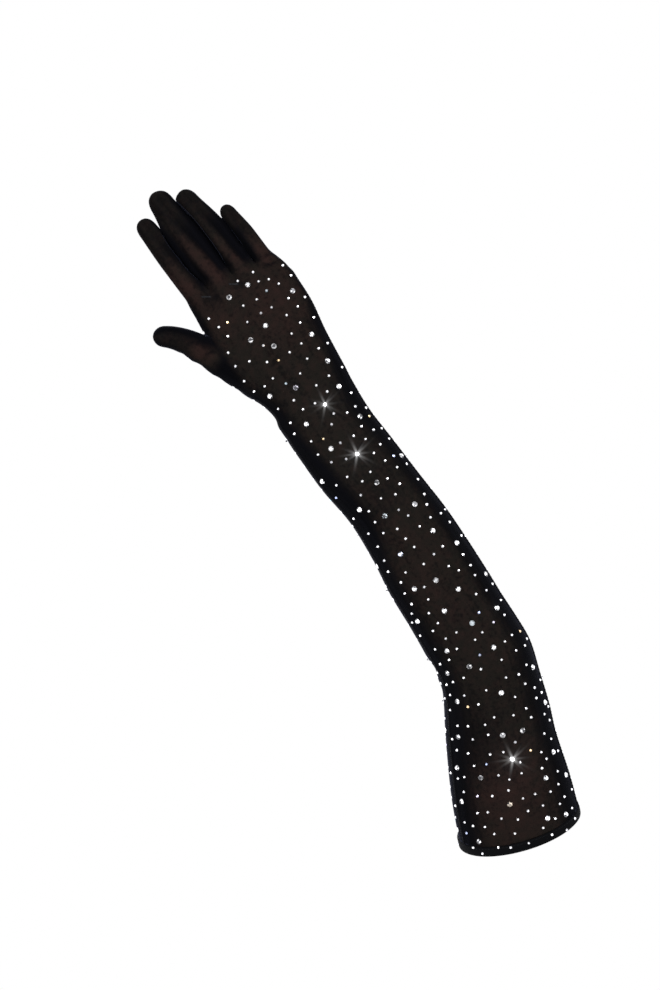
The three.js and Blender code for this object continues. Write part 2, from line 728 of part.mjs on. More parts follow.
// Puts a crystal's flat back at a height over the cloth.
function seatedMatrix({ point, facing }, height) {
  const turn = new THREE.Quaternion().setFromUnitVectors(new THREE.Vector3(0, 0, 1), facing);
  const place = point.clone().addScaledVector(facing, height);
  return new THREE.Matrix4().compose(place, turn, new THREE.Vector3(1, 1, 1));
}

function fusedStones(places) {
  const plain = stoneGeometry({ girdle: 0, tableTurn: 0 });
  return places.map((place) => {
    const seat = facetAt(place.along, place.degrees);
    return solidOf(plain.clone().applyMatrix4(seatedMatrix(seat, -STONE_SINK)));
  });
}

function clothMaterial() {
  return new THREE.MeshStandardMaterial({ color: 0x1d181a, roughness: 0.85, metalness: 0 });
}

function hemMaterial() {
  return new THREE.MeshStandardMaterial({ color: 0x0b0b10, roughness: 0.8, metalness: 0 });
}

function crystalMaterial() {
  return new THREE.MeshStandardMaterial({ color: 0xe9eef4, roughness: 0.08, metalness: 0.35 });
}

function named(name, geometry, material) {
  const mesh = new THREE.Mesh(geometry, material);
  mesh.name = name;
  return mesh;
}

// The two panels of the sleeve and hand, opened for the thumb, with their fused crystals.
function panels(stones) {
  const thumbHollow = solidOf(thumbForm(-WALL));
  return Object.entries(SPANS).map(([side, span]) => {
    let solid = solidOf(panelGeometry(span)).subtract(thumbHollow);
    for (const stone of fusedStones(stones[side])) solid = solid.add(stone);
    return named(`${side}_panel`, geometryFromSolid(solid), clothMaterial());
  });
}

function thumb() {
  const solid = solidOf(thumbForm(0)).subtract(solidOf(thumbForm(-WALL))).subtract(solidOf(handForm(GAP)));
  return named('thumb', geometryFromSolid(solid), clothMaterial());
}

function fingers() {
  return FINGERS.map((finger) => named(finger.name, fingerGeometry(finger), clothMaterial()));
}

function seams() {
  const lower = HEM_WIDTH + GAP;
  const belowThumb = alongAtHeight(SEAM_THUMB_TOP_Z);
  const top = SLEEVE_LENGTH - SEAM_TOP_ROOM;
  return [
    named('seam_thumb_side', seamGeometry(SEAM_THUMB_SIDE, lower, belowThumb), hemMaterial()),
    named('seam_little_finger_side', seamGeometry(SEAM_LITTLE_SIDE, lower, top), hemMaterial()),
  ];
}

function hem() {
  return named('cuff_hem', hemGeometry(), hemMaterial());
}

function looseStones(places) {
  return places.map((place, i) => {
    const geometry = stoneGeometry({ girdle: STONE_GIRDLE, tableTurn: 0.5 });
    const stone = named(`stone_${String(i + 1).padStart(2, '0')}`, geometry, crystalMaterial());
    const seat = facetAt(place.along, place.degrees);
    seatedMatrix(seat, GAP).decompose(stone.position, stone.quaternion, stone.scale);
    return stone;
  });
}

// Crystals near the middle of the palm side are pieces of their own. Of the others, a wider spaced choice
// is fused to the panels.
function sortStones(places) {
  const isLoose = (place) => angleBetween(place.degrees, 270) < LOOSE_STONE_REACH;
  const isPalm = (place) => place.degrees > SEAM_THUMB_SIDE && place.degrees < SEAM_LITTLE_SIDE;
  const fused = [];
  for (const place of places.filter((each) => !isLoose(each))) {
    const isApart = fused.every((other) => other.point.distanceTo(place.point) > FUSED_STONE_SPACING);
    if (isApart) fused.push(place);
  }
  return {
    loose: places.filter(isLoose),
    palm: fused.filter(isPalm),
    back: fused.filter((place) => !isPalm(place)),
  };
}

const stones = sortStones(stonePlaces());
const glove = new THREE.Group();
glove.add(...panels(stones), thumb(), ...fingers(), ...seams(), hem(), ...looseStones(stones.loose));

export default glove;
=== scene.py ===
import json
import math
from functools import cache

import bmesh
import bpy
import numpy as np
from mathutils import Matrix, Vector
from mathutils.bvhtree import BVHTree

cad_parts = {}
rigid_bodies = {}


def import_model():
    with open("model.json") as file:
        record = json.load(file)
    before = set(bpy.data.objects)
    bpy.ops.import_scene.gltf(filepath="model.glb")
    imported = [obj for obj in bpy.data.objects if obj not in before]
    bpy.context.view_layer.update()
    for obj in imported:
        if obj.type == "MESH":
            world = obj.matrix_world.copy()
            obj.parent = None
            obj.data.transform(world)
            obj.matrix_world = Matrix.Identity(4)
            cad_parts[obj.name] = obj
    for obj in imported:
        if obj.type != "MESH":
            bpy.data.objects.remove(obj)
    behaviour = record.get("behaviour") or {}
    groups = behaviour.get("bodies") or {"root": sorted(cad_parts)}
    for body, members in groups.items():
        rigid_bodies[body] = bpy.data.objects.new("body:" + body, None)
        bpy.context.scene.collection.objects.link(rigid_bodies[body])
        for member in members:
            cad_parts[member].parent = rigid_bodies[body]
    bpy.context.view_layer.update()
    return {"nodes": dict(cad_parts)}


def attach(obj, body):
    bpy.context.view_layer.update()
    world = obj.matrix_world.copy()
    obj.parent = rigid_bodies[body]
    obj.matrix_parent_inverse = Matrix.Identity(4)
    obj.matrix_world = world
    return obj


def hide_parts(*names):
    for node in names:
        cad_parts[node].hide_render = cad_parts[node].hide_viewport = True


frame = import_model()

bl_info = {
    "name": "Rhinestone Glove",
    "version": (1, 0, 0),
    "blender": (4, 5, 0),
    "location": "3D View > Sidebar > Glove",
    "description": "Dresses a sheer mesh opera glove with its cloth, hem, seams and crystals",
    "category": "Object",
}

# The origin is the middle of the wrist, +Z runs up the palm, +X is the little finger's side and the palm
# faces -Y. The tables and the shape functions are in millimetres, and MM turns their points into metres.
# Angles round the sleeve are in degrees: 0 little finger side, 90 back, 180 thumb side, 270 palm. The sleeve
# here is all the cloth from the cuff to the finger bases.
MM = 0.001


def rows_of(columns, rows):
    """A table as one array for each named column."""
    return {name: np.array(values, float) for name, values in zip(columns.split(), zip(*rows))}


def each(table, columns=""):
    """The rows of a table, each as its values in the named columns or in all of them."""
    return zip(*(table[name] for name in columns.split() or table))


# Sections of the sleeve from the cuff up: the outline on the thumb's and the little finger's side, the
# middle's place front to back, the depth to the palm side and the back, how far the section dips to the palm
# side, and how square it is, 2 being an ellipse.
SECTIONS = rows_of("thumb_x thumb_z little_x little_z y palm back dip round", [
    (-110.8, -330.5, -25.6, -361.5, 37.5, 41, 40, 17, 2),
    (-95.3, -299, -14, -331.6, 27.5, 39.5, 39, 17, 2),
    (-78.3, -270, -3.7, -300, 18, 38, 38, 16, 2),
    (-67, -252, 4.5, -280.6, 12, 37.5, 37, 14, 2),
    (-57.1, -237, 12.5, -257, 6.5, 37, 36, 10, 2),
    (-50.8, -225, 19.5, -236, 3, 37, 35.5, 6, 2),
    (-48, -214, 21.8, -217.6, 1, 36.5, 35, 2, 2),
    (-46.1, -197, 23.2, -198, 0, 36, 34, 0, 2),
    (-43.9, -179, 25, -179, 0, 35.5, 33, 0, 2),
    (-41, -150, 27.1, -150, 0, 34, 32, 0, 2),
    (-36.3, -124, 28.2, -124, 0, 32, 30.5, 0, 2),
    (-33.3, -93, 27.5, -93, 0, 29, 28, 0, 2.05),
    (-35.3, -62, 27.2, -62, 0, 27, 26, 0, 2.1),
    (-34.8, -35, 26.8, -35, 0, 24.5, 24, 0, 2.1),
    (-33.6, -11, 29.2, -11, 0, 21.5, 21.5, 0, 2.15),
    (-31.3, 0, 31, 0, 0, 20, 20, 0, 2.2),
    (-33.6, 14, 33, 14, 0, 19.5, 19, 0, 2.25),
    (-40, 30, 35.6, 30, 0, 18, 17.5, 0, 2.3),
    (-38, 52, 40.4, 52, 0, 16, 15.5, 0, 2.4),
    (-36.8, 72, 42, 72, 0, 14, 14, 0, 2.5),
    (-34.8, 86, 42.2, 86, 0, 12.6, 13, 0, 2.6),
    (-33.6, 99.5, 40.4, 99.5, 0, 11.6, 12, 0, 2.6),
])

# Folds that run round the sleeve: the height of the middle line there, the middle of the fold round the
# sleeve, how far it runs either way, its half width and its height, below 0 for a crease.
FOLDS = rows_of("z around reach wide rise", [
    (-214, 140, 65, 5, -2.4),
    (-203, 135, 60, 5, 1.4),
    (-226, 145, 60, 6, 1.5),
    (-238, 140, 50, 5, -1.2),
    (-6, 190, 60, 4, 0.7),
    (-17, 215, 60, 5, -0.8),
])

# Soft swellings under the cloth, on the palm side (-1) or the back (1)
SWELLINGS = rows_of("x z reach_x reach_z rise side", [
    (-20, 42, 15, 26, 4, -1),
    (24, 34, 14, 30, 2.5, -1),
    (3, 90, 34, 9, 1.2, -1),
    (22, -8, 9, 10, 2.5, 1),
    (6, -236, 20, 24, 3, -1),
])

# Creases where the cloth bends, as lines seen from the palm side, with their half width and height. The
# cloth is also painted darker along them, as painted shade.
CREASES = rows_of("x_from z_from x_to z_to wide rise", [
    (29.5, 98.6, 38.5, 96.2, 1.3, -0.8),
    (27.5, 92.5, 38, 88.3, 1.4, -0.9),
    (28, 95.6, 38, 92.4, 1.2, 0.5),
    (-45, 65.5, -36, 63.8, 1.4, -0.8),
    (-50, 79.5, -38, 73, 1.3, -0.6),
    (-43.5, 60.5, -38.5, 55, 1.2, 0.6),
    (-15, 96.5, -11, 91, 1.6, -0.6),
    (5.5, 96.5, 8, 90, 1.6, -0.6),
])

# Finger stalls: the bounds of the base, the middle and half width, the tip, how far it leans to the palm
# side, and the half depth. spread parts the stalls while the cloth is made.
FINGERS = rows_of("left right mid_x half tip_x tip_z curl deep spread", [
    (-33.6, -14.15, -23, 8.7, -23.4, 172.2, 5, 7.8, -5.1),
    (-13.85, 6.6, -3.9, 9.9, -4.6, 182, 8, 8.2, -1.7),
    (6.9, 24.1, 15.2, 8.7, 12.4, 171.4, 7, 7.8, 1.7),
    (24.4, 40.4, 31.3, 6.8, 30.3, 145, 4, 6.6, 5.1),
])

# How the stalls press on each other: how much wider each is on its thumb and little finger side and the
# share of its length up to which it is. Then how far off its middle the strip of painted light lies at the
# base and the tip, and how wide that strip is; beside it the stall is in painted shade.
FINGERS.update(rows_of("wider_thumb wider_little till_thumb till_little thin_base thin_tip thin_wide", [
    (0, 0.08, 0.6, 0.6, -1.2, -6.5, 1.5),
    (0.36, 0.16, 0.6, 0.95, 0.5, -7.5, 0.95),
    (0.27, 0.07, 0.95, 0.6, -1, -5.5, 0.9),
    (0.09, 0, 0.6, 0.6, 1.5, 4, 1.4),
]))
STALLS = range(len(FINGERS["half"]))

# What the stalls share: how much narrower the tip is and from where on, from where they lean, how long and
# how square the base is, how round the tube and the tip are, how far the root reaches down into the sleeve
# and how much it is drawn in, how much deeper the base is, and the room at the little finger's outer side
FINGER_TIP_TAPER = 0.8
FINGER_TAPER_FROM = 0.5
FINGER_LEAN_FROM = 0.5
FINGER_BASE_SHARE = 0.2
FINGER_BASE_SQUARE = 5
FINGER_ROUND = 2.2
FINGER_CAP_SHARE = 1.1
FINGER_ROOT = 9
FINGER_ROOT_SHRINK = 0.94
FINGER_RINGS = 26
FINGER_BASE_DEEPER = 0.24
LITTLE_BASE_ROOM = 1.4

# Where neighbouring stalls press on each other: how the pressed sides slant, so that each pair meets without
# a slit, and how far the line between them bows to the little finger's side. Cloth within the reach of that
# line is drawn to it, over a share of the stall's depth, and stays half the gap away from it.
PRESSED = rows_of("slant bow", [(0.16, -3.2), (-0.16, 1.3), (-0.16, 0)])
PRESS_REACH = 1.5
PRESS_DEPTH_SHARE = 0.85
PRESS_GAP = 0.04

# The thumb stall's middle line from inside the palm to its tip, and its half width and depth
THUMB = rows_of("x y z half deep", [
    (-24, -3, 31, 13.5, 9.5),
    (-30, -4.5, 43.5, 14.3, 10.8),
    (-36.8, -7, 57, 12.6, 10.4),
    (-43.5, -11, 71, 10.6, 9.2),
    (-50.5, -17, 83.5, 9, 8.3),
    (-57, -23, 91.3, 8, 7.6),
    (-65.6, -29, 97.8, 7, 6.8),
])
THUMB_FOLDS = rows_of("at wide rise", [
    (24, 2.5, -0.7),
    (31, 3, 0.5),
    (41, 2.5, -0.6),
    (48, 3, 0.5),
    (57, 2.5, -0.5),
])
THUMB_CAP = 7.5
THUMB_RINGS = 40

# The rings that round off a tip, as angles from its side to its end
TIP_TURNS = np.radians([18, 36, 52, 66, 78, 86])

# Above the finger bases the thumb's cloth lies on this side of X
THUMB_SIDE_X = -38

# The line of the finger bases: its highest place, its arch and the length over which the sleeve rises to it
KNUCKLE_X = -9
KNUCKLE_Z = 99.6
KNUCKLE_ARCH = 0.0048
KNUCKLE_BLEND = 32

# The shell: the points round the sleeve's form and round a stall's, the step between the sleeve's rings, how
# far below the cuff it starts, the places that are looked up along the thumb, and how often the shell is
# smoothed before and after it is fitted to the named form
SLEEVE_SIDES = 96
STALL_SIDES = 40
THUMB_STEPS = 120
SLEEVE_RING_STEP = 4
SLEEVE_START = -8
SMOOTHINGS = 12
LAST_SMOOTHINGS = 2

# Hem band: its width, its thickness outside the cloth's outer face, and the cloth's wall inside it. A stitch
# is given by its length and thickness.
HEM_WIDTH = 7
HEM_OUT = 0.9
HEM_IN = 1
HEM_ROUND = 0.8
HEM_UPPER_ROUND = 0.5
HEM_CROWN = 0.15
HEM_STITCH = (2.1, 0.38)
HEM_STITCH_STEP = 2.7
HEM_STITCH_INSET = 1.1
HEM_STITCH_RISE = 0.1

# Side seams, as ridges of rolled cloth held by slanted stitches. A ridge starts just off the hem and is
# drawn in at its ends. Its section springs from just above the cloth and has a foot sunk into it.
SEAM_THUMB_SIDE = 200
SEAM_LITTLE_SIDE = 348
SEAM_THUMB_TOP_Z = 21
SEAM_TOP_ROOM = 8
SEAM_WIDTH = 1.6
SEAM_RISE = 0.85
SEAM_RING_STEP = 2.2
SEAM_HEM_GAP = 0.3
SEAM_END = 2
SEAM_END_SHRINK = 0.45
SEAM_SPRING = 0.05
SEAM_FOOT_SHARE = 0.5
SEAM_FOOT = 0.25
SEAM_STITCH = (1.9, 0.3)
SEAM_STITCH_STEP = 2.6
SEAM_STITCH_SLANT = 0.55
SEAM_STITCH_ENDS = (2, 1)

# Bar tacks below the crotches of the fingers: the middle, seen from the palm side
TACKS = rows_of("x z", [(-18.5, 99.2), (2.6, 94.6)])
TACK_LENGTH = 6.2
TACK_SLOPE = -0.75
TACK_STITCH = (1.5, 0.5)
TACK_STITCHES = 12
TACK_STITCH_SLANT = 0.5
TACK_STITCH_RISE = 0.12

# A place on Y well in front of the palm, from where the cloth is looked for
BEFORE_PALM = -60

# Crystals lie in rows round the sleeve, each moved off its place by up to a share of the step
SCATTER = 0.3

# Large crystals. The rooms are the least distances from a crystal's middle to what is beside it.
PLACED_STONES = rows_of("x z", [(2.8, -14.3), (0.1, -56.3), (-42.2, -296.4)])
STONE_WIDTH = 4
STONE_HEIGHT = 1.5
STONE_GIRDLE = 0.25
STONE_TABLE_SHARE = 0.56
STONE_SIDES = 8
STONE_ROW_STEP = 24
STONE_STEP_ROUND = 28
STONE_ROOM = 13
STONE_THUMB_ROOM = 3.5
STONE_EDGE_ROOM = 4
STONE_SINK = 0.1
FIRST_STONE_ROW = 16
STONE_TOP_ROOM = 6
LOOSE_STONE_REACH = 48
GIRTH_STEPS = 120

# Small crystals, or chips, fill the rest in closer rows
CHIP_WIDTH = 2.1
CHIP_HEIGHT = 0.95
CHIP_GIRDLE = 0.15
CHIP_TABLE_SHARE = 0.5
CHIP_SIDES = 6
CHIP_UNEVEN = 0.08
CHIP_ROW_STEP = 10.6
CHIP_STEP_ROUND = 11.4
CHIP_ROOM = 7.2
CHIP_STONE_ROOM = 6.6
CHIP_THUMB_ROOM = -5.5
CHIP_EDGE_ROOM = 2.2
CHIP_SEAM_ROOM = 2.2
CHIP_SINK = 0.08
FIRST_CHIP_ROW = 4
LOWEST_CHIP = 1.6

# How far the cloth may lie from the sleeve's plain form where a crystal sits, also where the thumb swells
# it, and how squarely the cloth has to face outwards there
STONE_SEAT_REACH = 3
CHIP_SEAT_REACH = 7
SEAT_FACING = 0.4

# Colours that some crystals flash in
FLASHES = ((0.55, 0.65, 1.0), (1.0, 0.72, 0.4), (0.7, 0.9, 1.0), (0.85, 0.78, 1.0))

CLOTH_NODES = (
    "palm_panel", "back_panel", "thumb", "finger_index", "finger_middle", "finger_ring", "finger_little",
)
LOOSE_STONES = sorted(name for name in frame["nodes"] if name.startswith("stone_"))
# The crystals that glint, with their share of the glow: painted glints that glow white on their table. Then,
# for large and for small crystals, the share of facets painted dark, how dark they are and how strongly the
# crystals glow in their facets' colours as a painted sparkle.
GLINTS = dict(zip(LOOSE_STONES, (0.75, 1.0, 1.0)))
LARGE_FLASH = (0.25, 0.04, 0.5)
SMALL_FLASH = (0.1, 0.35, 0.35)

# Facets whose directions differ by less than this flash alike
FACET_STEP = 0.021

# How bright a crystal is before it glows and throws rays
GLARE_THRESHOLD = 7.0


def with_along(rows):
    """Adds the length of the middle line up to each row."""
    middles = np.stack([rows["x"], rows["y"], rows["z"]], 1)
    steps = np.linalg.norm(np.diff(middles, axis=0), axis=1)
    rows["along"] = np.concatenate([[0], np.cumsum(steps)])
    return rows


def sleeve_rows():
    """The sections as middles, half widths and tilts."""
    s = SECTIONS
    width = s["little_x"] - s["thumb_x"]
    drop = s["thumb_z"] - s["little_z"]
    return with_along({
        "x": (s["thumb_x"] + s["little_x"]) / 2,
        "y": s["y"],
        "z": (s["thumb_z"] + s["little_z"]) / 2,
        "half": np.hypot(width, drop) / 2,
        "tilt": np.arctan2(drop, width),
        "dip": np.radians(s["dip"]),
        "palm": s["palm"],
        "back": s["back"],
        "round": s["round"],
    })


SLEEVE = sleeve_rows()
THUMB = with_along(THUMB)
SLEEVE_LENGTH = SLEEVE["along"][-1]
THUMB_LENGTH = THUMB["along"][-1]


def curve(rows, column, along):
    """The value of a column at distances along, on a smooth curve through the rows."""
    xs, ys = rows["along"], rows[column]
    last = len(xs) - 1
    i = np.clip(np.searchsorted(xs, along, side="left") - 1, 0, last - 1)
    after, before = np.minimum(np.arange(last + 1) + 1, last), np.maximum(np.arange(last + 1) - 1, 0)
    slopes = (ys[after] - ys[before]) / (xs[after] - xs[before])
    span = xs[i + 1] - xs[i]
    t = (along - xs[i]) / span
    return (
        (2 * t**3 - 3 * t**2 + 1) * ys[i]
        + (t**3 - 2 * t**2 + t) * span * slopes[i]
        + (3 * t**2 - 2 * t**3) * ys[i + 1]
        + (t**3 - t**2) * span * slopes[i + 1]
    )


def smoothstep(x, low, high):
    """A soft rise from 0 at low to 1 at high."""
    t = np.clip((np.asarray(x, float) - low) / (high - low), 0, 1)
    return t * t * (3 - 2 * t)


def power(value, round_):
    """A sine or cosine bent so that a circle becomes a squarer oval."""
    return np.sign(value) * np.abs(value) ** (2 / round_)


def knuckle_line(x):
    """The height of the line of the finger bases at x."""
    return KNUCKLE_Z - KNUCKLE_ARCH * (x - KNUCKLE_X) ** 2


def angle_between(a, b):
    """The smaller turn from one angle to another, in degrees."""
    turn = np.abs(a - b) % 360
    return np.minimum(turn, 360 - turn)


def bump(off):
    """A soft hump: 1 at its middle, and near 0 from twice its reach on."""
    return np.exp(-(off**2))


def along_at_height(z):
    """The distance along at which the sleeve's middle line reaches a height."""
    low, high = 0.0, SLEEVE_LENGTH
    for _ in range(30):
        middle = (low + high) / 2
        if curve(SLEEVE, "z", middle) < z:
            low = middle
        else:
            high = middle
    return (low + high) / 2


FOLDS["at"] = np.array([along_at_height(z) for z in FOLDS["z"]])


def relief(along, degrees, x, z):
    """How far folds and swellings push the cloth out."""
    rise = np.zeros(np.broadcast(along, degrees, x, z).shape)
    for at, around, reach, wide, high in each(FOLDS, "at around reach wide rise"):
        off = np.minimum(angle_between(degrees, around) / reach, 1)
        rise += high * np.cos(off * np.pi / 2) ** 2 * bump((along - at) / wide)
    for x_mid, z_mid, reach_x, reach_z, high, side in each(SWELLINGS):
        share = np.maximum(0, side * np.sin(np.radians(degrees)))
        rise += high * share * bump((x - x_mid) / reach_x) * bump((z - z_mid) / reach_z)
    return rise


def section_frame(along):
    """The middle of a section and its directions across and through the sleeve, each as rows of x, y, z."""
    tilt, dip = curve(SLEEVE, "tilt", along), curve(SLEEVE, "dip", along)
    zero = np.zeros_like(tilt)
    across = np.stack([np.cos(tilt), zero, -np.sin(tilt)], -1)
    up = np.stack([np.sin(tilt), zero, np.cos(tilt)], -1)
    through = up * np.sin(dip)[..., None]
    through[..., 1] += np.cos(dip)
    middle = np.stack([curve(SLEEVE, c, along) for c in "xyz"], -1)
    return middle, across, through


def sleeve_points(along, degrees, out=0.0, with_relief=True):
    """Points of the sleeve, out from the outer face of the cloth by a distance."""
    along, degrees = np.broadcast_arrays(np.asarray(along, float), np.asarray(degrees, float))
    middle, across, through = section_frame(along)
    turn = np.radians(degrees)
    round_, half = curve(SLEEVE, "round", along), curve(SLEEVE, "half", along)
    depth = np.where(np.sin(turn) > 0, curve(SLEEVE, "back", along), curve(SLEEVE, "palm", along))
    side, front = power(np.cos(turn), round_), power(np.sin(turn), round_)

    def place(rise):
        to_side = across * (side * (half + rise))[..., None]
        return middle + to_side + through * (front * (depth + rise))[..., None]

    points = place(0)
    if with_relief:
        points = place(out + relief(along, degrees, points[..., 0], points[..., 2]))
    else:
        points = place(out)
    share = smoothstep(along, SLEEVE_LENGTH - KNUCKLE_BLEND, SLEEVE_LENGTH)
    points[..., 2] += (knuckle_line(points[..., 0]) - SLEEVE["z"][-1]) * share
    return points


def sleeve_seat(along, degrees, out=0.0):
    """A point of the cloth, the way it faces and the direction up the sleeve there."""
    step = 0.5
    point = sleeve_points(along, degrees, out)
    up = sleeve_points(along + step, degrees, out) - sleeve_points(along - step, degrees, out)
    turn = sleeve_points(along, degrees + step, out) - sleeve_points(along, degrees - step, out)
    facing = np.cross(turn, up)
    return point, facing / np.linalg.norm(facing), up / np.linalg.norm(up)


def lengths_round(along):
    """The length round the sleeve up to each of many equal angles. The last is its girth."""
    points = sleeve_points(along, np.arange(GIRTH_STEPS + 1) * 360 / GIRTH_STEPS)
    return np.concatenate([[0], np.cumsum(np.linalg.norm(np.diff(points, axis=0), axis=1))])


def angles_round(along, count, offsets):
    """Equal steps round the sleeve as angles, each moved by a share of a step."""
    lengths = lengths_round(along)
    targets = (((np.arange(count) + offsets) / count + 1) % 1) * lengths[-1]
    return np.interp(targets, lengths, np.arange(GIRTH_STEPS + 1) * 360 / GIRTH_STEPS)


def scatter(row, place, use):
    """A number from -1 to 1 that looks random but is the same each time."""
    value = math.sin(row * 402.6 + place * 91.3 + use * 12.9) * 43758.5
    return 2 * (value - math.floor(value)) - 1


def nearest_place(x, z):
    """The place on the palm side that lies at x and z seen from the front."""
    along, degrees = np.meshgrid(np.arange(HEM_WIDTH, SLEEVE_LENGTH), np.arange(210, 331))
    points = sleeve_points(along, degrees)
    best = np.argmin(np.hypot(points[..., 0] - x, points[..., 2] - z))
    return float(along.flat[best]), float(degrees.flat[best])


def rim_depth(x, sine):
    """How deep the sleeve's upper rim is at x, from its middle to the palm side or the back."""
    share = np.minimum(1, np.abs(x - SLEEVE["x"][-1]) / SLEEVE["half"][-1])
    depth = np.where(sine > 0, SLEEVE["back"][-1], SLEEVE["palm"][-1])
    round_ = SLEEVE["round"][-1]
    return depth * (1 - share**round_) ** (1 / round_)


def finger(k):
    """One stall's row of the table."""
    return {name: column[k] for name, column in FINGERS.items()}


def finger_length(f):
    """A stall's length from the line of the finger bases to its tip."""
    return f["tip_z"] - knuckle_line(f["mid_x"])


def finger_cap(f):
    """The share of a stall's length that its rounded tip takes."""
    return f["half"] * FINGER_TIP_TAPER * FINGER_CAP_SHARE / finger_length(f)


def finger_section(f, share):
    """The middle, lean, half width and half depth of a stall at a share of its length."""
    taper = 1 + (FINGER_TIP_TAPER - 1) * smoothstep(share, FINGER_TAPER_FROM, 1)
    middle = f["mid_x"] + (f["tip_x"] - f["mid_x"]) * smoothstep(share, FINGER_LEAN_FROM, 1)
    lean = -f["curl"] * np.clip(share, 0, 1) ** 2
    deeper = 1 + FINGER_BASE_DEEPER * (1 - smoothstep(share, 0, 0.5))
    return middle, lean, f["half"] * taper, f["deep"] * taper * deeper


def finger_ring(k, share, shrink=1.0):
    """One section of a stall: at the base it fills its share of the rim, above it is a rounded tube."""
    f = finger(k)
    turn = np.arange(STALL_SIDES) * 2 * np.pi / STALL_SIDES
    cosine, sine = np.cos(turn), np.sin(turn)
    middle, lean, half, deep = finger_section(f, share)
    is_outer = np.where(cosine < 0, k == 0, k == 3)
    base_middle, base_half = (f["left"] + f["right"]) / 2, (f["right"] - f["left"]) / 2
    base_x = base_middle + np.where(is_outer, cosine, power(cosine, FINGER_BASE_SQUARE)) * base_half
    edge = np.where(is_outer, np.sign(np.round(sine, 6)), power(sine, FINGER_BASE_SQUARE))
    base_y = edge * rim_depth(base_x, sine)
    tube_x = middle + power(cosine, FINGER_ROUND) * half * shrink
    tube_y = lean + power(sine, FINGER_ROUND) * deep * shrink
    blend = smoothstep(share, 0, FINGER_BASE_SHARE)
    x = base_x + (tube_x - base_x) * blend
    y = base_y + (tube_y - base_y) * blend
    z = knuckle_line(x) * (1 - share) + f["tip_z"] * share
    return np.stack([x, y, z], 1)


def spread_share(x, z):
    """How far the stalls are parted at a place: from 0 just under their bases to 1, and 0 on the thumb."""
    return smoothstep(z - knuckle_line(x), -7, 13) * smoothstep(x, THUMB_SIDE_X - 6, THUMB_SIDE_X - 3)


def finger_rings(k):
    """All sections of a stall, from inside the sleeve to the tip."""
    cap = finger_cap(finger(k))
    root = finger_ring(k, 0.0)
    middle = root.mean(0)
    root = middle + (root - middle) * FINGER_ROOT_SHRINK
    root[:, 2] -= FINGER_ROOT
    rings = [root] + [finger_ring(k, share) for share in np.linspace(0, 1 - cap, FINGER_RINGS)]
    rings += [finger_ring(k, 1 - cap * (1 - math.sin(turn)), math.cos(turn)) for turn in TIP_TURNS]
    for ring in rings:
        ring[:, 0] += FINGERS["spread"][k] * spread_share(ring[:, 0], ring[:, 2])
    return rings


def thumb_frame(along):
    """The thumb's middle and its directions along, across and through, at one distance along."""
    def at(distance):
        return np.array([curve(THUMB, c, distance) for c in "xyz"])
    direction = at(min(along + 1, THUMB_LENGTH)) - at(max(along - 1, 0))
    direction /= np.linalg.norm(direction)
    across = np.cross([0, -1, 0], direction)
    across /= np.linalg.norm(across)
    return at(along), direction, across, np.cross(direction, across)


def thumb_crease(along, cosine):
    """How far the thumb's folds push its cloth out, on its outer side."""
    crease = sum(rise * bump((along - at) / wide) for at, wide, rise in each(THUMB_FOLDS))
    return crease * np.maximum(0, cosine)


def thumb_ring(along, shrink=1.0):
    """One section of the thumb's stall."""
    middle, _, across, through = thumb_frame(along)
    turn = np.arange(STALL_SIDES) * 2 * np.pi / STALL_SIDES
    rise = thumb_crease(along, np.cos(turn))
    half, deep = curve(THUMB, "half", along), curve(THUMB, "deep", along)
    return (
        middle
        + across * (np.cos(turn) * (half + rise) * shrink)[:, None]
        + through * (np.sin(turn) * (deep + rise) * shrink)[:, None]
    )


def thumb_rings():
    """All sections of the thumb's stall, from inside the palm to the tip."""
    tip = THUMB_LENGTH - THUMB_CAP
    rings = [thumb_ring(along) for along in np.linspace(0, tip, THUMB_RINGS)]
    return rings + [thumb_ring(THUMB_LENGTH - THUMB_CAP * (1 - math.sin(t)), math.cos(t)) for t in TIP_TURNS]


def deselect_all():
    if bpy.context.object and bpy.context.object.mode != "OBJECT":
        bpy.ops.object.mode_set(mode="OBJECT")
    bpy.ops.object.select_all(action="DESELECT")


def make_active(piece):
    """Selects one piece alone, so that an operator acts on nothing else."""
    deselect_all()
    piece.select_set(True)
    bpy.context.view_layer.objects.active = piece


def lofted(name, rings, closed=False):
    """A disc that is extruded from ring to ring. Closed joins the last ring to the first, as in a band."""
    deselect_all()
    bpy.ops.mesh.primitive_circle_add(
        vertices=len(rings[0]), radius=MM, fill_type="NOTHING" if closed else "NGON")
    piece = bpy.context.object
    piece.name = piece.data.name = name
    bpy.ops.object.mode_set(mode="EDIT")
    bm = bmesh.from_edit_mesh(piece.data)
    number = bm.verts.layers.int.new("number")
    for i, vertex in enumerate(bm.verts):
        vertex[number] = i
        vertex.co = rings[0][i] * MM
    bmesh.update_edit_mesh(piece.data)
    for ring in list(rings[1:]) + [rings[0]] * closed:
        if closed:
            bpy.ops.mesh.extrude_edges_move()
        else:
            bpy.ops.mesh.extrude_region_move()
        bm = bmesh.from_edit_mesh(piece.data)
        number = bm.verts.layers.int["number"]
        for vertex in bm.verts:
            if vertex.select:
                vertex.co = ring[vertex[number]] * MM
    bpy.ops.mesh.select_all(action="SELECT")
    if closed:
        bpy.ops.mesh.remove_doubles(threshold=1e-6)
    bpy.ops.mesh.normals_make_consistent(inside=False)
    bpy.ops.object.mode_set(mode="OBJECT")
    piece.data.attributes.remove(piece.data.attributes["number"])
    return piece


def joined(name, pieces):
    deselect_all()
    for piece in pieces:
        piece.select_set(True)
    bpy.context.view_layer.objects.active = pieces[0]
    bpy.ops.object.join()
    pieces[0].name = pieces[0].data.name = name
    return pieces[0]


def apply_modifier(piece, kind, **settings):
    make_active(piece)
    modifier = piece.modifiers.new(kind.title(), kind)
    for key, value in settings.items():
        setattr(modifier, key, value)
    bpy.ops.object.modifier_apply(modifier=modifier.name)


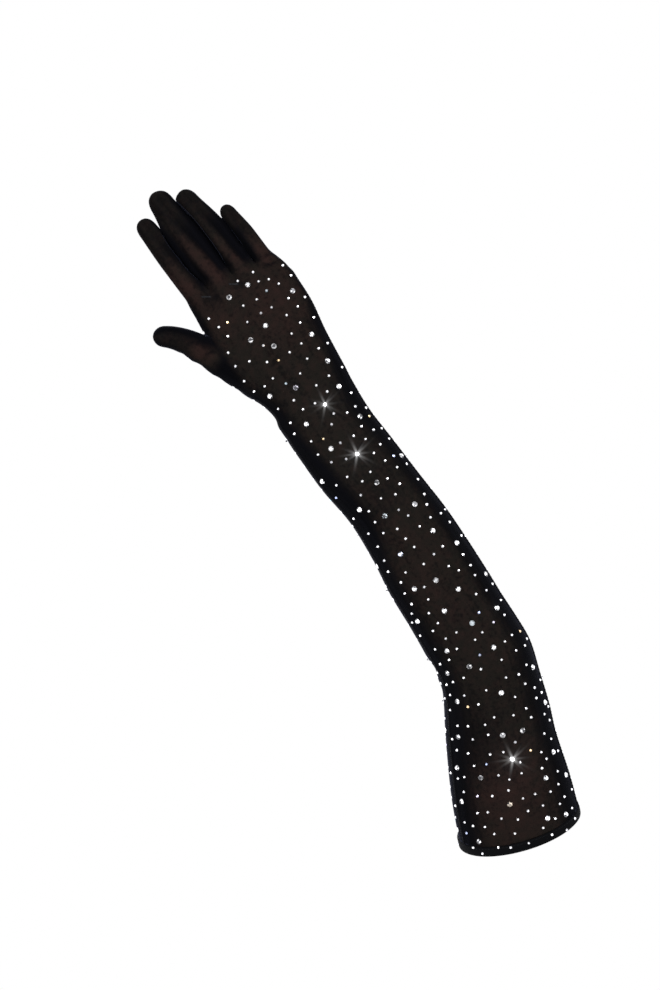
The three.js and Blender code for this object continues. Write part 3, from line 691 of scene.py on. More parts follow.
def values_of(items, name, kind=int, size=1):
    """A named value of all vertices, faces or corners, as one array."""
    values = np.empty(len(items) * size, kind)
    items.foreach_get(name, values)
    return values


def coordinates(mesh):
    """The vertices of a mesh as rows of x, y, z in millimetres."""
    return values_of(mesh.vertices, "co", float, 3).reshape(-1, 3) / MM


def set_coordinates(mesh, points):
    mesh.vertices.foreach_set("co", (points * MM).ravel())
    mesh.update()


def finished(piece, material, replaced=()):
    """A piece in its material that rides with the glove and stands for CAD nodes."""
    piece.data.materials.clear()
    piece.data.materials.append(material)
    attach(piece, "root")
    if replaced:
        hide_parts(*replaced)
    return piece


def copies(name, master, places):
    """One mesh of many copies of a master, each put at its place by a matrix. The master is removed."""
    points = coordinates(master.data) * MM
    count = len(points)
    points = np.c_[points, np.ones(count)]
    faces = [tuple(face.vertices) for face in master.data.polygons]
    moved = np.concatenate([points @ np.array(place).T[:, :3] for place in places])
    all_faces = [tuple(i + k * count for i in face) for k in range(len(places)) for face in faces]
    mesh = bpy.data.meshes.new(name)
    mesh.from_pydata(moved.tolist(), [], all_faces)
    mesh.update()
    piece = bpy.data.objects.new(name, mesh)
    bpy.context.scene.collection.objects.link(piece)
    bpy.data.objects.remove(master)
    return piece


def seat_matrix(point, facing, up, size=1.0):
    """A place on the cloth: Z out of it and Y up the sleeve. The point is in millimetres."""
    z = Vector(facing).normalized()
    x = Vector(up).cross(z).normalized()
    turn = Matrix((x, z.cross(x), z)).transposed().to_4x4()
    return Matrix.Translation(Vector(point) * MM) @ turn @ Matrix.Scale(size, 4)


def parted_stalls(points):
    """For parted stalls: the stall that each point is on or nearest to, and the shift that parted it."""
    x, z = points[:, 0], points[:, 2]
    share = spread_share(x, z)
    centres, halves = [], []
    for k in STALLS:
        f = finger(k)
        middle, _, half, _ = finger_section(f, (z - KNUCKLE_Z) / finger_length(f))
        centres.append(middle + f["spread"] * share)
        halves.append(half)
    stall = np.argmin(np.abs(x - np.array(centres)) - np.array(halves), 0)
    shift = np.full(len(x), FINGERS["spread"][0])
    for k in range(len(centres) - 1):
        low, high = centres[k] + halves[k], centres[k + 1] - halves[k + 1]
        part = np.clip((x - low) / np.maximum(high - low, 1e-6), 0, 1)
        shift += (FINGERS["spread"][k + 1] - FINGERS["spread"][k]) * part
    return stall, shift * share


def stalls_of(mesh, points):
    """The stall of each vertex above the line of the finger bases, else -1."""
    stall = values_of(mesh.attributes["stall"].data, "value")
    x, z = points[:, 0], points[:, 2]
    return np.where((z > knuckle_line(x)) & (x > THUMB_SIDE_X), stall, -1)


def sleeve_place(points):
    """Where points lie on the sleeve: along, the angle round it, how far to the side as a share of the half
    width, and how far from the middle line as a share of the way to the face."""
    middles = np.stack([SLEEVE[c] for c in "xyz"], 1)
    nearest = np.argmin(np.linalg.norm(points[:, None] - middles[None], axis=2), 1)
    along = SLEEVE["along"][nearest]
    for _ in range(6):
        middle, across, through = section_frame(along)
        normal = np.cross(across, through)
        ahead = section_frame(along + 0.5)[0] - section_frame(along - 0.5)[0]
        along = along + ((points - middle) * normal).sum(1) / (ahead * normal).sum(1)
        along = np.clip(along, -10, SLEEVE_LENGTH + 20)
    middle, across, through = section_frame(along)
    off = points - middle
    side, front = (off * across).sum(1) / curve(SLEEVE, "half", along), (off * through).sum(1)
    front = front / np.where(front > 0, curve(SLEEVE, "back", along), curve(SLEEVE, "palm", along))
    round_ = curve(SLEEVE, "round", along)
    cosine = np.sign(side) * np.abs(side) ** (round_ / 2)
    sine = np.sign(front) * np.abs(front) ** (round_ / 2)
    reach = (np.abs(side) ** round_ + np.abs(front) ** round_) ** (1 / round_)
    return along, np.degrees(np.arctan2(sine, cosine)) % 360, side, reach


def finger_place(k, points):
    """Where points lie on a stall: the share of its length, the offsets from its middle and, as a share of
    the way to the face, how far out of the middle they are."""
    f = finger(k)
    x, y, z = points.T
    share = (z - knuckle_line(x)) / (f["tip_z"] - knuckle_line(x))
    middle, lean, half, deep = finger_section(f, share)
    wider = np.where(x < middle, f["wider_thumb"], f["wider_little"])
    till = np.where(x < middle, f["till_thumb"], f["till_little"])
    half = half * (1 + wider * smoothstep(share, 0, 0.12) * (1 - smoothstep(share, till, till + 0.35)))
    flat = np.abs((x - middle) / half) ** FINGER_ROUND + np.abs((y - lean) / deep) ** FINGER_ROUND
    cap = finger_cap(f)
    end = np.maximum(0, (share - (1 - cap)) / cap)
    return share, x - middle, y - lean, np.hypot(flat ** (1 / FINGER_ROUND), end)


def thumb_place(points):
    """Where points lie on the thumb: along, the angle round it, the offsets from its middle line and, as a
    share of the way to the face, how far out of it they are."""
    line = np.linspace(0, THUMB_LENGTH, THUMB_STEPS)
    frames = [thumb_frame(a) for a in line]
    middles, directions, across, through = (np.array([f[i] for f in frames]) for i in range(4))
    nearest = np.argmin(np.linalg.norm(points[:, None] - middles[None], axis=2), 1)
    off = points - middles[nearest]
    ahead = (off * directions[nearest]).sum(1)
    along = line[nearest] + ahead
    off = off - directions[nearest] * ahead[:, None]
    side, front = (off * across[nearest]).sum(1), (off * through[nearest]).sum(1)
    inside = np.clip(along, 0, THUMB_LENGTH)
    rise = thumb_crease(inside, side / np.maximum(np.hypot(side, front), 1e-6))
    side = side / (curve(THUMB, "half", inside) + rise)
    front = front / (curve(THUMB, "deep", inside) + rise)
    end = np.maximum(0, (along - (THUMB_LENGTH - THUMB_CAP)) / THUMB_CAP)
    reach = np.hypot(np.hypot(side, front), end)
    return along, np.degrees(np.arctan2(front, side)) % 360, off, reach


def weigh(points, moved, weight):
    """Points part of the way to where they are moved."""
    return points + (moved - points) * weight[:, None]


def fit_to_form(points, stall):
    """Moves the shell's points onto the named form, apart from where the thumb and fingers grow out."""
    t_along, _, t_off, t_reach = thumb_place(points)
    along, _, _, reach = sleeve_place(points)
    middle = section_frame(along)[0]
    from_thumb = (t_reach - 1) * curve(THUMB, "deep", np.clip(t_along, 0, THUMB_LENGTH))
    over_base = points[:, 2] - knuckle_line(points[:, 0])
    weight = (1 - smoothstep(over_base, -12, -3)) * smoothstep(from_thumb, 1.5, 6)
    fitted = weigh(points, middle + (points - middle) / reach[:, None], weight)
    outside = (reach - 1) * curve(SLEEVE, "palm", along)
    on_thumb = smoothstep(outside, 2, 7) * smoothstep(t_along, 40, 50)
    on_thumb *= (1 - smoothstep(t_reach, 1.25, 1.5)) * (stall < 0)
    past = np.maximum(0, t_along - (THUMB_LENGTH - THUMB_CAP))
    last = THUMB_STEPS // 2 - 1
    directions = np.array([thumb_frame(a)[1] for a in np.linspace(0, THUMB_LENGTH, last + 1)])
    direction = directions[np.clip(np.round(t_along / THUMB_LENGTH * last), 0, last).astype(int)]
    shorter = direction * (past * (1 - 1 / t_reach))[:, None]
    fitted = weigh(fitted, points - t_off - shorter + t_off / t_reach[:, None], on_thumb)
    for k in STALLS:
        chosen = stall == k
        f = finger(k)
        share, dx, dy, f_reach = finger_place(k, points[chosen])
        start = 1 - finger_cap(f)
        new_share = np.where(share > start, start + (share - start) / f_reach, share)
        x = points[chosen, 0] - dx + dx / f_reach
        y = points[chosen, 1] - dy + dy / f_reach
        z = points[chosen, 2] + (new_share - share) * (f["tip_z"] - knuckle_line(points[chosen, 0]))
        fitted[chosen] = weigh(fitted[chosen], np.stack([x, y, z], 1), smoothstep(share, 0.05, 0.25))
    outer = smoothstep(over_base, -9, -2) * (1 - smoothstep(over_base, 4, 13))
    fitted[:, 0] += LITTLE_BASE_ROOM * outer * smoothstep(points[:, 0], 33, 37)
    return fitted


def press_fingers(points, stall):
    """Flattens neighbouring stalls where they press on each other."""
    x, y, z = points.T.copy()
    for k, (slant, bow) in enumerate(each(PRESSED)):
        left, right = finger(k), finger(k + 1)
        shares = [np.clip((z - KNUCKLE_Z) / finger_length(f), 0, 1) for f in (left, right)]
        l_mid, l_lean, l_half, l_deep = finger_section(left, shares[0])
        r_mid, r_lean, r_half, _ = finger_section(right, shares[1])
        lean = (l_lean + r_lean) / 2
        plane = (l_mid + l_half + r_mid - r_half) / 2
        plane += slant * smoothstep(shares[0], 0.05, 0.25) * (y - lean)
        plane += bow * smoothstep(shares[0], 0.05, 0.4) * (1 - smoothstep(shares[0], 0.6, 0.95))
        low = (shares[0] > 0.02) & (shares[1] < 0.72) & (np.abs(y - lean) < PRESS_DEPTH_SHARE * l_deep)
        reach = np.where(low, PRESS_REACH, 0)
        x = np.where((stall == k) & (x > plane - PRESS_GAP - reach), plane - PRESS_GAP, x)
        x = np.where((stall == k + 1) & (x < plane + PRESS_GAP + reach), plane + PRESS_GAP, x)
    return np.stack([x, y, z], 1)


# Spots where the cloth is coloured warmer, and spots where it is painted darker, those at the finger
# crotches and by the thumb's root as painted shade: the middle of each spot, its reach and its strength
RUDDY_SPOTS = rows_of("x z reach_x reach_z strength", [
    (18, 62, 24, 30, 0.55),
    (-20, 80, 12, 18, 0.5),
    (-27, 114, 8, 18, 0.95),
    (-3, 114, 8, 16, 1),
    (-8, 134, 6, 10, 0.6),
    (15, 110, 8, 14, 0.6),
    (33, 99, 7, 12, 0.9),
    (-44, 71, 8, 10, 0.9),
    (-60, -315, 34, 32, 0.7),
    (-12, -160, 18, 60, 0.25),
])
DARK_SPOTS = rows_of("x z reach_x reach_z strength", [
    (25, -34, 12, 30, 0.9),
    (-5, -88, 26, 22, 0.38),
    (-58, -268, 26, 28, 0.62),
    (4, -248, 12, 15, 0.5),
    (-6, -272, 11, 15, 0.55),
    (-11, -296, 9, 13, 0.45),
    (-26, 18, 9, 12, 0.4),
    (-15, 96, 7, 9, 0.6),
    (6, 93, 6, 8, 0.5),
    (-35, 82, 6, 20, 0.3),
    (-40, 73, 5, 7, 0.8),
])

# Where painted shade begins towards the sleeve's sides and where it is full, as shares of its half width: on
# the sleeve, and how much further out at the heel of the palm and on the palm
SIDE_SHADE_FROM = (0.46, 0.22, 0.17)
SIDE_SHADE_AT = (0.86, 0.09, 0.1)

# The girth that the sleeve's and a stall's knit is cut to, before it is stretched
CUT_GIRTH = 190
FINGER_CUT_GIRTH = 52

# The thumb's part of the knit's map. The sleeve is part 0 and the stalls come next.
THUMB_PART = 5


def spots(table, points):
    """How strongly each point lies in one of the spots of a table."""
    strength = np.zeros(len(points))
    for x_mid, z_mid, reach_x, reach_z, most in each(table):
        spot = bump((points[:, 0] - x_mid) / reach_x) * bump((points[:, 2] - z_mid) / reach_z)
        strength = np.maximum(strength, most * spot)
    return strength


def sleeve_thin_and_lit(height, side):
    """Painted light and shade: the sleeve is lit along its middle, more widely on the palm, and shaded at
    its sides.
    """
    heel, palm = smoothstep(height, -10, 25), smoothstep(height, 38, 60)
    wrist = smoothstep(-height, 0, 60) * (1 - smoothstep(-height, 100, 135))
    shift = 0.1 * wrist + 0.04 * palm
    off = np.abs(side - shift) / (1 - shift)
    start, end = (plain + more_heel * heel + more_palm * palm
                  for plain, more_heel, more_palm in (SIDE_SHADE_FROM, SIDE_SHADE_AT))
    return 1 - smoothstep(off, start, end)


def stall_thin_and_lit(f, share, dx, dy):
    """Painted light: a stall is lit in a strip that fades up its length, shaded beside it, and half lit over
    its tip.
    """
    shift = np.where(dy < 0, f["thin_base"] + (f["thin_tip"] - f["thin_base"]) * share, 0)
    strip = 1 - smoothstep(np.abs(dx - shift) / (f["half"] * f["thin_wide"]), 0.14, 0.7)
    strip *= 1 - 0.5 * smoothstep(share, 0.3, 0.6) - 0.5 * smoothstep(share, 0.7, 0.94)
    tip = 0.42 * smoothstep(share, 0.5, 0.8) * (1 - smoothstep(np.abs(dx) / f["half"], 0.5, 0.95))
    return np.maximum(strip, tip)


def thumb_thin_and_lit(along, degrees):
    """Painted light: the thumb's cloth is lit on its back and half lit on its front, from its root to its
    middle.
    """
    thin = 1 - smoothstep(angle_between(degrees, 72), 15, 60)
    thin += 0.5 * (1 - smoothstep(angle_between(degrees, 260), 20, 60))
    return thin * (smoothstep(along, 27, 40) * (1 - 0.5 * smoothstep(along, 50, 60)))


def cloth_thin_and_lit(points, stall, sleeve, thumb, on_thumb):
    """How thin and lit the cloth is painted, from 0 to 1, with painted shade at its sides and along its
    creases.
    """
    thin = sleeve_thin_and_lit(points[:, 2], sleeve[2])
    # Darker in the dark spots, in part painted shade at the finger crotches and by the thumb's root
    off_dark_spots = 1 - spots(DARK_SPOTS, points)
    for k in STALLS:
        chosen = stall == k
        share, dx, dy, _ = finger_place(k, points[chosen])
        base = smoothstep(share, -0.02, 0.14)
        below, above = thin[chosen] * off_dark_spots[chosen], stall_thin_and_lit(finger(k), share, dx, dy)
        thin[chosen] = below * (1 - base) + above * base
    off_stalls = np.where(on_thumb, thumb_thin_and_lit(thumb[0], thumb[1]), thin) * off_dark_spots
    # Painted shade along the creases
    crease_shade = np.clip(-crease_rise(points), 0, 0.8)
    return np.where(stall < 0, off_stalls, thin) * (1 - crease_shade)


def knit_map(mesh, points, stall, sleeve, thumb, on_thumb):
    """The map that the knit follows. A face takes all its corners from one part of the glove."""
    part = np.where(on_thumb, THUMB_PART, stall + 1)
    turns = {0: (sleeve[1], CUT_GIRTH, sleeve[0]), THUMB_PART: (thumb[1], FINGER_CUT_GIRTH, thumb[0])}
    for k in STALLS:
        _, dx, dy, _ = finger_place(k, points)
        turns[k + 1] = (np.degrees(np.arctan2(dy, dx)) % 360, FINGER_CUT_GIRTH, sleeve[0])
    corners = values_of(mesh.loops, "vertex_index")
    starts = values_of(mesh.polygons, "loop_start")
    totals = values_of(mesh.polygons, "loop_total")
    face = np.repeat(np.arange(len(starts)), totals)
    part_of_corner = part[corners[starts]][face]
    u, v, girth = np.zeros(len(corners)), np.zeros(len(corners)), np.full(len(corners), float(CUT_GIRTH))
    for number, (degrees, around, along) in turns.items():
        chosen = part_of_corner == number
        u[chosen] = degrees[corners[chosen]] / 360 * around
        v[chosen] = along[corners[chosen]]
        girth[chosen] = around
    highest = np.maximum.reduceat(u, starts)
    u = np.where(highest[face] - u > girth / 2, u + girth, u)
    layer = mesh.uv_layers.new(name="knit")
    layer.data.foreach_set("uv", (np.stack([u, v], 1) * MM).astype(np.float32).ravel())


def paint_cloth(mesh):
    """Writes the cloth's painted light and shade, where it is ruddy, and the map that the knit follows."""
    points = coordinates(mesh)
    stall = stalls_of(mesh, points)
    sleeve, thumb = sleeve_place(points), thumb_place(points)
    on_thumb = ((sleeve[2] < -0.92) & (thumb[0] > 22) | (thumb[0] > 46)) & (thumb[3] < 1.5) & (stall < 0)
    thin = cloth_thin_and_lit(points, stall, sleeve, thumb, on_thumb)
    for name, values in (("thin", thin), ("ruddy", spots(RUDDY_SPOTS, points))):
        mesh.attributes.new(name, "FLOAT", "POINT").data.foreach_set("value", values.astype(np.float32))
    knit_map(mesh, points, stall, sleeve, thumb, on_thumb)


def crease_rise(points):
    """How far the creases of the palm side push the cloth out."""
    rise = np.zeros(len(points))
    flat = points[:, [0, 2]]
    for *line, wide, high in each(CREASES):
        start, run = np.array(line[:2]), np.array(line[2:]) - np.array(line[:2])
        share = np.clip(((flat - start) @ run) / (run @ run), 0, 1)
        off = np.linalg.norm(flat - start - share[:, None] * run, axis=1)
        rise += high * bump(off / wide) * (0.35 + 0.65 * np.sin(np.pi * share))
    return rise


def add_relief(mesh):
    """Moves the cloth out over swellings and in along its folds and creases."""
    points = coordinates(mesh)
    along, degrees, _, _ = sleeve_place(points)
    t_along, _, _, t_reach = thumb_place(points)
    rise = relief(along, degrees, points[:, 0], points[:, 2])
    below_fingers = 1 - smoothstep(points[:, 2] - knuckle_line(points[:, 0]), -4, 6)
    off_thumb = 1 - smoothstep(t_along, 20, 36) * (1 - smoothstep(t_reach, 1.0, 1.4))
    normals = values_of(mesh.vertices, "normal", float, 3).reshape(-1, 3)
    rise = rise * below_fingers * off_thumb + crease_rise(points) * smoothstep(-normals[:, 1], 0, 0.5)
    set_coordinates(mesh, points + normals * rise[:, None])


def cloth_form(voxel):
    """The glove as one closed shell: sleeve, stalls and thumb joined, with the stalls parted meanwhile."""
    sides = np.arange(SLEEVE_SIDES) * 360 / SLEEVE_SIDES
    stations = np.arange(SLEEVE_START, SLEEVE_LENGTH, SLEEVE_RING_STEP)
    rings = [sleeve_points(a, sides, with_relief=False) for a in [*stations, SLEEVE_LENGTH]]
    forms = [lofted("sleeve_form", rings)]
    forms += [lofted(f"stall_form_{k}", finger_rings(k)) for k in STALLS]
    forms.append(lofted("thumb_form", thumb_rings()))
    shell = joined("glove_cloth", forms)
    apply_modifier(shell, "REMESH", mode="VOXEL", voxel_size=voxel)
    apply_modifier(shell, "SMOOTH", factor=0.5, iterations=SMOOTHINGS)
    points = coordinates(shell.data)
    stall, shift = parted_stalls(points)
    points[:, 0] -= shift
    shell.data.attributes.new("stall", "INT", "POINT").data.foreach_set("value", stall.astype(np.int32))
    set_coordinates(shell.data, fit_to_form(points, stalls_of(shell.data, points)))
    apply_modifier(shell, "SMOOTH", factor=0.5, iterations=LAST_SMOOTHINGS)
    return shell


def open_cuff(shell):
    """Cuts the shell off where the hem begins."""
    middle, across, through = section_frame(np.array(HEM_WIDTH + 0.05))
    normal = np.cross(across, through)
    make_active(shell)
    bpy.ops.object.mode_set(mode="EDIT")
    bpy.ops.mesh.select_all(action="SELECT")
    bpy.ops.mesh.bisect(plane_co=middle * MM, plane_no=normal, clear_inner=True)
    bpy.ops.mesh.select_all(action="SELECT")
    bpy.ops.mesh.normals_make_consistent(inside=False)
    bpy.ops.object.mode_set(mode="OBJECT")


def node(tree, kind, **settings):
    """A shader node with its named sockets and settings set."""
    made = tree.nodes.new(kind)
    for key, value in settings.items():
        if key in made.inputs:
            made.inputs[key].default_value = value
        else:
            setattr(made, key, value)
    return made


def math_node(tree, operation, *values):
    """The result of a sum in a shader. A value is a number or the output of another node."""
    made = node(tree, "ShaderNodeMath", operation=operation)
    for socket, value in zip(made.inputs, values):
        if isinstance(value, (int, float)):
            socket.default_value = value
        else:
            tree.links.new(value, socket)
    return made.outputs[0]


def clamped(tree, value):
    return math_node(tree, "MINIMUM", math_node(tree, "MAXIMUM", value, 0), 1)


def mix_colour(tree, factor, first, second):
    made = node(tree, "ShaderNodeMix", data_type="RGBA")
    for socket, value in ((made.inputs[0], factor), (made.inputs[6], first), (made.inputs[7], second)):
        if isinstance(value, (int, float)):
            socket.default_value = value
        elif isinstance(value, (tuple, list)):
            socket.default_value = (*value, 1)
        else:
            tree.links.new(value, socket)
    return made.outputs[2]


def new_group(name, inputs, outputs):
    """A shader node group with named sockets, given as name and kind."""
    group = bpy.data.node_groups.new(name, "ShaderNodeTree")
    for direction, sockets in (("INPUT", inputs), ("OUTPUT", outputs)):
        for socket, kind in sockets:
            group.interface.new_socket(socket, in_out=direction, socket_type=f"NodeSocket{kind}")
    return group, node(group, "NodeGroupInput"), node(group, "NodeGroupOutput")


def knit_group():
    """Fine knitted net: rows of small eyes in offset columns, as a height and as a mask of the eyes."""
    if "knit_net" in bpy.data.node_groups:
        return bpy.data.node_groups["knit_net"]
    group, source, target = new_group(
        "knit_net", [("Map", "Vector"), ("Eye", "Float")], [("Height", "Float"), ("Eyes", "Float")])
    split = node(group, "ShaderNodeSeparateXYZ")
    group.links.new(source.outputs["Map"], split.inputs[0])
    waves = []
    for axis in (0, 1):
        eyes = math_node(group, "DIVIDE", split.outputs[axis], source.outputs["Eye"])
        waves.append(math_node(group, "COSINE", math_node(group, "MULTIPLY", eyes, math.tau)))
    product = math_node(group, "MULTIPLY", waves[0], waves[1])
    eyes = math_node(group, "MULTIPLY", math_node(group, "ADD", product, 1), 0.5)
    height = math_node(group, "SUBTRACT", 1, eyes)
    group.links.new(height, target.inputs["Height"])
    group.links.new(eyes, target.inputs["Eyes"])
    return group


def facet_group():
    """Painted reflection: how bright each facet of a crystal flashes, a number for each way a facet faces.
    """
    if "facet_flash" in bpy.data.node_groups:
        return bpy.data.node_groups["facet_flash"]
    group, source, target = new_group(
        "facet_flash", [("Facing", "Vector"), ("Dark Share", "Float")], [("Flash", "Float")])
    snapped = node(group, "ShaderNodeVectorMath", operation="SNAP")
    snapped.inputs[1].default_value = (FACET_STEP, FACET_STEP, FACET_STEP)
    group.links.new(source.outputs["Facing"], snapped.inputs[0])
    white = node(group, "ShaderNodeTexWhiteNoise", noise_dimensions="3D")
    group.links.new(snapped.outputs[0], white.inputs["Vector"])
    over = math_node(group, "SUBTRACT", white.outputs["Value"], source.outputs["Dark Share"])
    group.links.new(clamped(group, math_node(group, "MULTIPLY", over, 3)), target.inputs["Flash"])
    return group


def new_material(name):
    material = bpy.data.materials.new(name)
    material.use_nodes = True
    tree = material.node_tree
    tree.nodes.clear()
    shader = node(tree, "ShaderNodeBsdfPrincipled")
    output = node(tree, "ShaderNodeOutputMaterial")
    tree.links.new(shader.outputs[0], output.inputs[0])
    return material, tree, shader


def noise(tree, source, scale, detail=3.0):
    made = node(tree, "ShaderNodeTexNoise", Scale=scale, Detail=detail)
    tree.links.new(source, made.inputs["Vector"])
    return made.outputs["Fac"]


def matt_cloth(shader, gloss, sheen):
    """The plain values of black stretch cloth: little gloss and a faint cool sheen."""
    shader.inputs["Specular IOR Level"].default_value = gloss
    shader.inputs["Sheen Weight"].default_value = sheen
    shader.inputs["Sheen Roughness"].default_value = 0.22
    shader.inputs["Sheen Tint"].default_value = (0.6, 0.65, 1.0, 1)


def cloth_material(props):
    """Black stretch net: warm where it is painted thin and lit, near black in its painted shade."""
    material, tree, shader = new_material("sheer_mesh")
    follow = node(tree, "ShaderNodeUVMap", uv_map="knit")
    place = node(tree, "ShaderNodeTexCoord").outputs["Object"]
    knit = node(tree, "ShaderNodeGroup", node_tree=knit_group())
    knit.inputs["Eye"].default_value = props.eye
    tree.links.new(follow.outputs[0], knit.inputs["Map"])
    thin = node(tree, "ShaderNodeAttribute", attribute_name="thin").outputs["Fac"]
    ruddy = node(tree, "ShaderNodeAttribute", attribute_name="ruddy").outputs["Fac"]
    lengthwise = node(tree, "ShaderNodeMapping", Scale=(260.0, 14.0, 1.0))
    tree.links.new(follow.outputs[0], lengthwise.inputs["Vector"])
    streaks = noise(tree, lengthwise.outputs[0], 1.0, 2.0)
    fine = noise(tree, place, 380.0, 2.0)
    # The stretch is uneven in broad patches, in a fine grain and in streaks along the sleeve
    uneven = 1.0
    for unevenness, strength in ((noise(tree, place, 38.0), 1.0), (fine, 2.2), (streaks, 1.2)):
        shift = math_node(tree, "ADD", uneven, -0.5 * strength)
        uneven = math_node(tree, "MULTIPLY_ADD", unevenness, strength, shift)
    # Painted light and shade: the warm colour shows where the cloth is painted lit, the near black one in
    # its shade
    shown = math_node(tree, "MULTIPLY", thin, math_node(tree, "MAXIMUM", uneven, 0.4))
    eyes = math_node(tree, "MULTIPLY_ADD", knit.outputs["Eyes"], 0.5, 0.75)
    shown = math_node(tree, "MULTIPLY", shown, eyes)
    blotch = math_node(tree, "MULTIPLY_ADD", noise(tree, place, 170.0, 3.0), 4.0, -1.75)
    ruddier = math_node(tree, "ADD", math_node(tree, "MULTIPLY", blotch, 0.35), ruddy)
    warm = mix_colour(tree, ruddier, tuple(props.warm), tuple(props.ruddy))
    dense = mix_colour(tree, streaks, (0.0, 0.0, 0.0), tuple(2 * part for part in props.dense))
    tree.links.new(mix_colour(tree, shown, dense, warm), shader.inputs["Base Color"])
    raised = node(tree, "ShaderNodeBump", Strength=0.35, Distance=0.0002)
    tree.links.new(knit.outputs["Height"], raised.inputs["Height"])
    tree.links.new(raised.outputs[0], shader.inputs["Normal"])
    rough = math_node(tree, "MULTIPLY_ADD", fine, 0.15, 0.78)
    tree.links.new(rough, shader.inputs["Roughness"])
    matt_cloth(shader, 0.02, 0.12)
    return material


def band_material(name, colour, second, gloss, sheen):
    """Doubled or rolled mesh, which lets nothing through: fine grain and bump on Object coordinates."""
    material, tree, shader = new_material(name)
    place = node(tree, "ShaderNodeTexCoord").outputs["Object"]
    grain = noise(tree, place, 900.0, 2.0)
    tree.links.new(mix_colour(tree, grain, tuple(colour), tuple(second)), shader.inputs["Base Color"])
    raised = node(tree, "ShaderNodeBump", Strength=0.4, Distance=0.0002)
    tree.links.new(grain, raised.inputs["Height"])
    tree.links.new(raised.outputs[0], shader.inputs["Normal"])
    rough = math_node(tree, "MULTIPLY_ADD", grain, 0.2, 0.65)
    tree.links.new(rough, shader.inputs["Roughness"])
    matt_cloth(shader, gloss, sheen)
    return material


def crystal_material(name, dark_share, shade, painted_sparkle, tint=None, glow=0.0):
    """Clear cut glass on a silver foil: each facet mirrors, and flashes by the way it faces, a painted
    reflection set into its colour.
    """
    material, tree, shader = new_material(name)
    facing = node(tree, "ShaderNodeNewGeometry").outputs["True Normal"]
    flash = node(tree, "ShaderNodeGroup", node_tree=facet_group())
    flash.inputs["Dark Share"].default_value = dark_share
    tree.links.new(facing, flash.inputs["Facing"])
    if tint is None:
        tint = node(tree, "ShaderNodeAttribute", attribute_name="tint").outputs["Color"]
    colour = mix_colour(tree, flash.outputs["Flash"], (shade, shade, shade * 1.1), tint)
    tree.links.new(colour, shader.inputs["Base Color"])
    rough = math_node(tree, "MULTIPLY_ADD", flash.outputs["Flash"], 0.12, 0.02)
    tree.links.new(rough, shader.inputs["Roughness"])
    shader.inputs["Metallic"].default_value = 0.9
    shader.inputs["Coat Weight"].default_value = 0.6
    shader.inputs["Coat Roughness"].default_value = 0.03
    # Painted sparkle: every crystal glows in its facets' colours, and a glint glows strongly on its table
    shader.inputs["Emission Strength"].default_value = glow or painted_sparkle
    if not glow:
        tree.links.new(colour, shader.inputs["Emission Color"])
    else:
        # Painted glint: the table facets that face the front glow white
        to_front = node(tree, "ShaderNodeVectorMath", operation="DOT_PRODUCT")
        to_front.inputs[1].default_value = (0, -1, 0)
        tree.links.new(facing, to_front.inputs[0])
        table = clamped(tree, math_node(tree, "MULTIPLY_ADD", to_front.outputs["Value"], 8.0, -6.6))
        lit = mix_colour(tree, table, (0.0, 0.0, 0.0), (1.0, 1.0, 1.0))
        tree.links.new(lit, shader.inputs["Emission Color"])
    return material


def length_property(name, description, default):
    return bpy.props.FloatProperty(name=name, description=description, default=default, unit="LENGTH")


def colour_property(name, description, default):
    return bpy.props.FloatVectorProperty(
        name=name, description=description, subtype="COLOR", default=default)


class GloveClothProps(bpy.types.PropertyGroup):
    voxel: length_property("Cloth step", "Size of the faces of the cloth", 0.00178)
    wall: length_property("Cloth thickness", "Thickness of the mesh cloth", 0.0008)
    eye: length_property("Knit eye", "From one eye of the net to the next", 0.0011)
    warm: colour_property(
        "Stretched cloth", "Colour where the cloth is stretched thin", (0.0082, 0.0068, 0.0057))
    ruddy: colour_property("Thinnest cloth", "Colour of the thinnest places", (0.0165, 0.0090, 0.0078))
    dense: colour_property("Dense cloth", "Colour where the cloth is dense", (0.0012, 0.0012, 0.0019))
    hem: colour_property("Hem cloth", "Colour of the doubled hem", (0.0011, 0.0011, 0.0013))
    thread: colour_property("Thread", "Colour of the thread of the seams", (0.004, 0.004, 0.005))


class GloveCrystalProps(bpy.types.PropertyGroup):
    tinted: bpy.props.FloatProperty(
        name="Tinted share", description="Share of the crystals that flash in a colour", default=0.07,
        subtype="FACTOR")
    clear: colour_property("Clear crystal", "Colour of the flash of a clear crystal", (0.98, 0.98, 1.0))
    # Painted glint: how strongly the three glinting crystals glow
    glow: bpy.props.FloatProperty(
        name="Glint", description="Strength of the three brightest crystals", default=20.0)


class GLOVE_OT_cloth(bpy.types.Operator):
    """Makes the sheer cloth of the sleeve, the palm, the fingers and the thumb"""
    bl_idname = "glove.cloth"
    bl_label = "Mesh cloth"

    def execute(self, context):
        props = context.scene.glove_cloth
        shell = cloth_form(props.voxel)
        open_cuff(shell)
        add_relief(shell.data)
        points = coordinates(shell.data)
        set_coordinates(shell.data, press_fingers(points, stalls_of(shell.data, points)))
        paint_cloth(shell.data)
        shell.data.attributes.remove(shell.data.attributes["stall"])
        apply_modifier(shell, "SOLIDIFY", thickness=props.wall, offset=-1.0, use_rim=True)
        make_active(shell)
        bpy.ops.object.shade_smooth()
        finished(shell, cloth_material(props), CLOTH_NODES)
        if len(shell.data.vertices) < 1000:
            raise RuntimeError("the cloth's shell came out empty")
        return {"FINISHED"}


